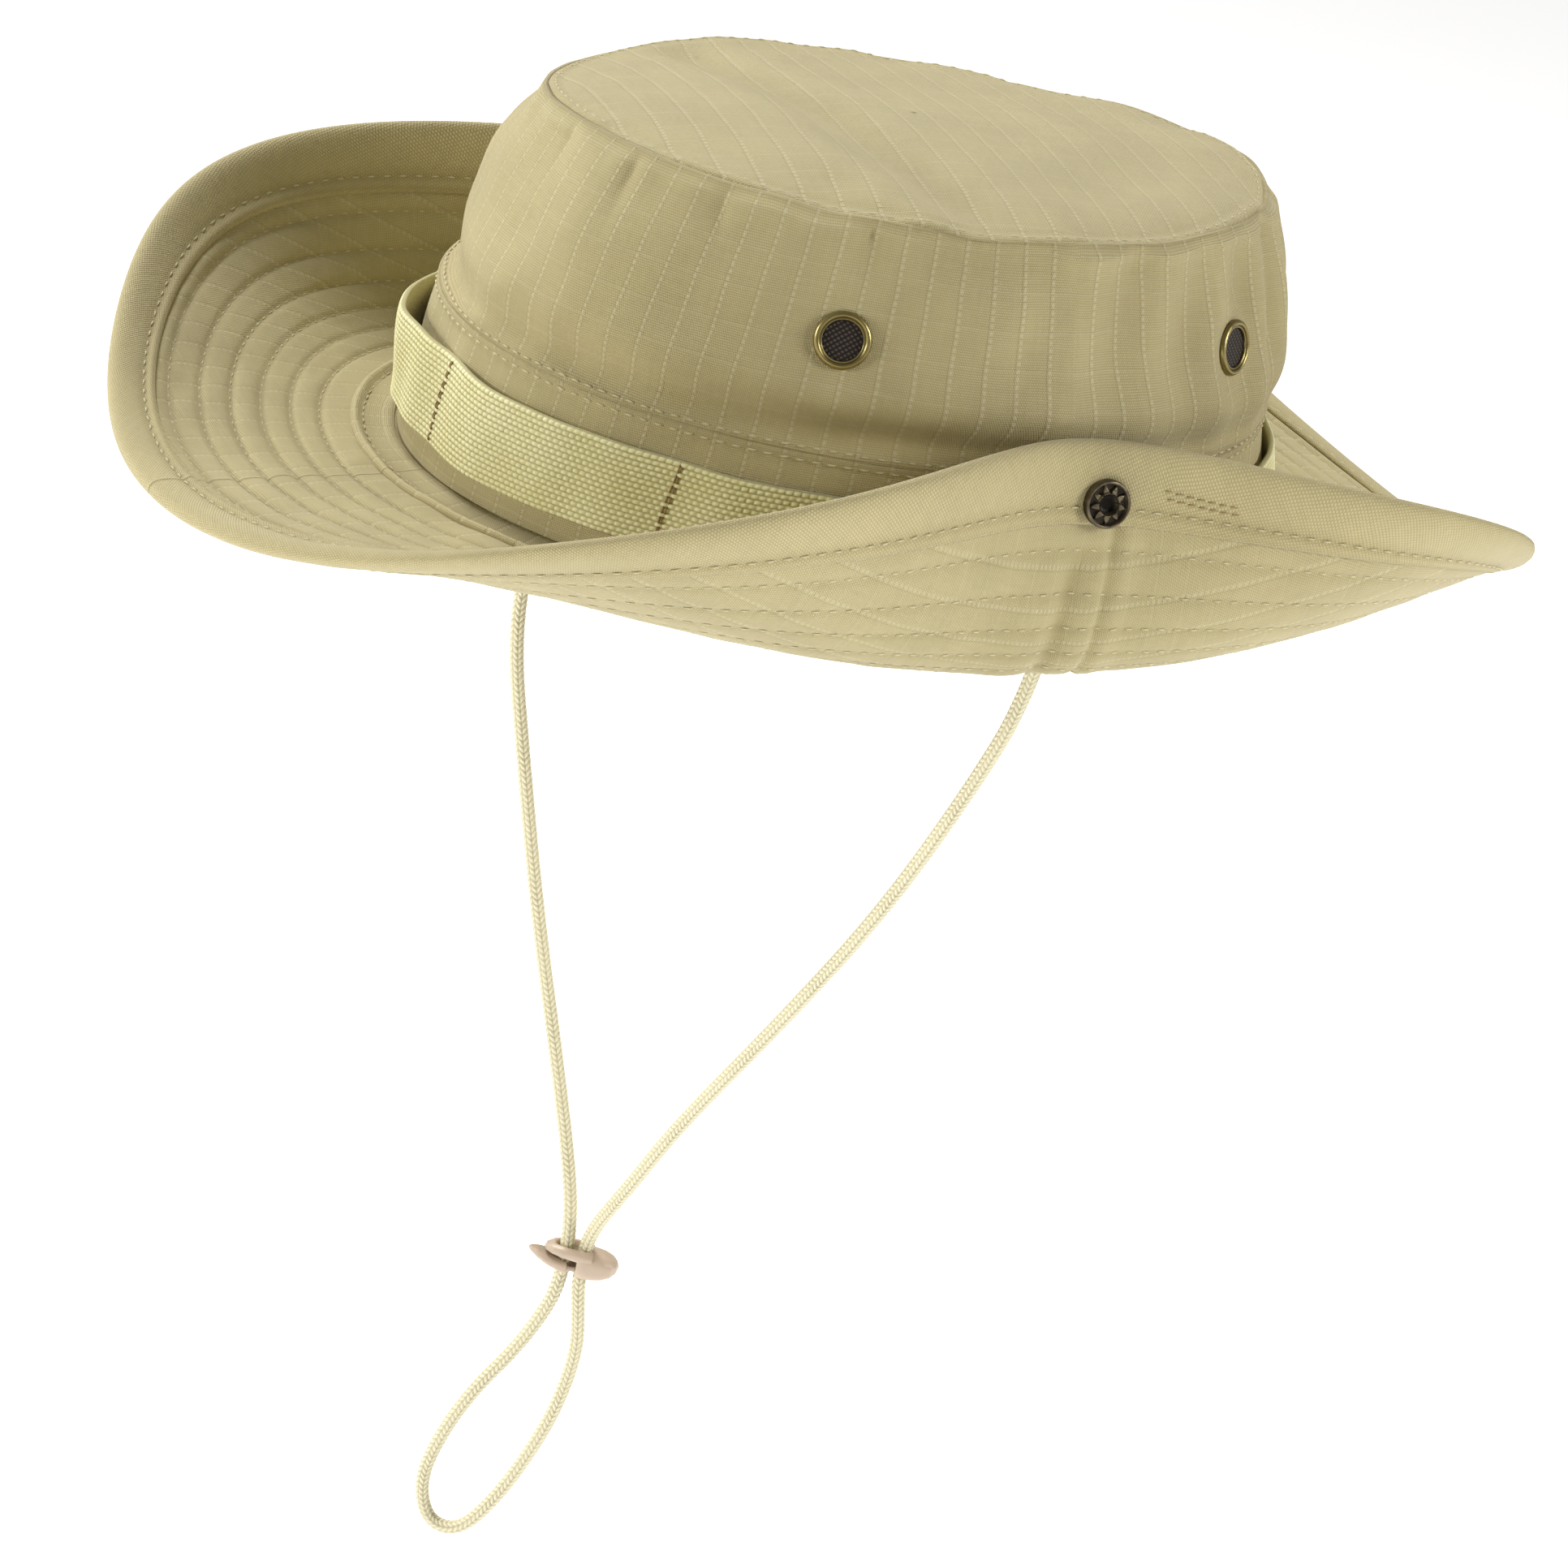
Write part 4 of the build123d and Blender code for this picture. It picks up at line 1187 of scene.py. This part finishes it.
def make_lock():
    bulb, dark = lock_loft([(0.9, 3.75, -3.85, 2.9), (1.1, 4.0, -4.0, 3.1), (2.5, 4.5, -4.3, 3.3),
        (5.0, 4.6, -4.2, 3.1),
                            (7.5, 4.3, -3.7, 2.7), (9.5, 3.4, -2.8, 2.0), (10.7, 2.0, -1.7, 1.1), (11.2,
                                0.3, -0.4, 0.1)])
    cup = np.stack([lock_ring(3.3, 0.2, -2.0, -1.7), lock_ring(3.3, 3.25, -3.25, -0.45),
        lock_ring(0.95, 3.25, -3.25, -0.45)])
    # painted shade: the cup inside the shell is darkened fully and the slot in its top partly
    bulb, dark = np.concatenate([cup, bulb]), np.concatenate([np.ones(cup.shape[:2]), dark])
    body = grid_mesh("cord_lock_shell", bulb, None, LOCK, dark * 0.8, wrap_v=True, caps=True)
    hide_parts("cord_lock_body")
    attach(body, "cord_lock")
    lid, dark = lock_loft([(-7.6, 0.4, 1.7, 2.1), (-7.2, 1.6, 1.3, 2.7), (-5.5, 3.1, 0.9, 3.4),
        (-3.0, 4.1, 0.6, 3.8),
                           (0.0, 4.5, 0.3, 3.9), (2.5, 4.5, 0.2, 3.6), (4.5, 4.2, 0.3, 3.2)])
    # painted shade in the flap's slot
    flap = grid_mesh("cord_lock_top_flap", lid, None, LOCK, dark * 0.8, wrap_v=True,
        caps=True)
    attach(flap, "cord_lock")
    tail, dark = lock_loft([(-11.4, 0.25, 0.55, 0.85), (-10.8, 1.2, 0.0, 1.1), (-9.0, 2.4, -1.1, 1.0),
        (-6.5, 3.4, -2.2, 0.5),
                            (-3.5, 4.0, -3.1, 0.1), (-1.45, 4.15, -3.6, 0.0), (-1.35, 2.9, -2.95,
                                -0.75), (0.8, 2.9, -2.95, -0.75)])
    tongue = grid_mesh("cord_lock_tongue", tail, None, LOCK, dark * 0.0, wrap_v=True,
        caps=True)
    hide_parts("cord_lock_button")
    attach(tongue, "cord_lock_button")


# ---- carried-over hardware ----
def dress(node, material):
    data = frame["nodes"][node].data
    data.materials.clear()
    data.materials.append(material)


def dress_hardware():
    for n in range(1, 5):
        dress(f"vent_{n}_washer", WASHER)
        dress(f"vent_{n}_mesh", VENT_MESH)
    for side in ("left", "right"):
        for part in ("socket", "stud", "rivet"):
            dress(f"snap_{side}_{part}", BRONZE)
        dress(f"cord_tab_{side}", LINING)
    dress("cord_lock_spring", STEEL)


# ---- brim piece lists ----
def declare_cloth():
    """Gathers each brim half's binding, collar and stitch pieces, and the left back tack, into a list that is
    not used further.
    """
    piece = bpy.data.objects
    for half in HALVES:
        parts = [piece[f"brim_{half}_{kind}"] for kind in ("binding_cloth", "collar_cloth", "stitches")]
        if half == "left":
            parts.append(piece["brim_left_back_tack"])


# ---- floor and light ----
def make_stage():
    g = Graph("floor_paper")
    vec, *_ = g.place()
    tone = g.mix(g.noise(vec, 3.0), (0.93, 0.93, 0.93), (0.95, 0.95, 0.95))
    paper = g.finish(tone, None, 0.95, specular=0.0)
    g.shader.inputs["Emission Color"].default_value = (1, 1, 1, 1)
    g.shader.inputs["Emission Strength"].default_value = 0.6
    me = bpy.data.meshes.new("floor")
    size, height = 14.0, -0.46
    me.from_pydata([(-size, -size, height), (size, -size, height), (size, size, height),
        (-size, size, height)], [], [(0, 1, 2, 3)])
    me.materials.append(paper)
    floor = bpy.data.objects.new("floor", me)
    scene.collection.objects.link(floor)


def area_light(name, place, size, power):
    data = bpy.data.lights.new(name, "AREA")
    data.size, data.energy = size, power
    ob = bpy.data.objects.new(name, data)
    scene.collection.objects.link(ob)
    ob.location = place
    ob.rotation_euler = (-Vector(place)).to_track_quat("-Z", "Y").to_euler()


def make_lights():
    world = bpy.data.worlds.new("studio")
    world.use_nodes = True
    world.node_tree.nodes["Background"].inputs[0].default_value = (1, 0.965, 0.88, 1)
    world.node_tree.nodes["Background"].inputs[1].default_value = 0.17
    scene.world = world
    area_light("key", -RIGHT * 1.75 + UP * 0.4 + BACK * 0.85, 0.5, 21)
    area_light("right", RIGHT * 1.8 + UP * 0.25 + BACK * 0.6, 0.6, 22)
    area_light("top", UP * 1.8 - RIGHT * 0.5 - BACK * 0.25, 0.8, 34)
    area_light("low", -UP * 0.9 + BACK * 1.7 - RIGHT * 0.4, 0.5, 3)


make_cord()
make_crown_walls()
make_top()
make_webbing()
make_sweatband()
for half_name in HALVES:
    make_brim_cloth(half_name)
    make_binding(half_name)
    make_collar(half_name)
    make_brim_stitches(half_name)
make_brim_tacks()
make_crown_stitches()
make_eyelets()
make_prong_ring("left")
make_prong_ring("right")
dress_hardware()
declare_cloth()
make_stage()
make_lights()
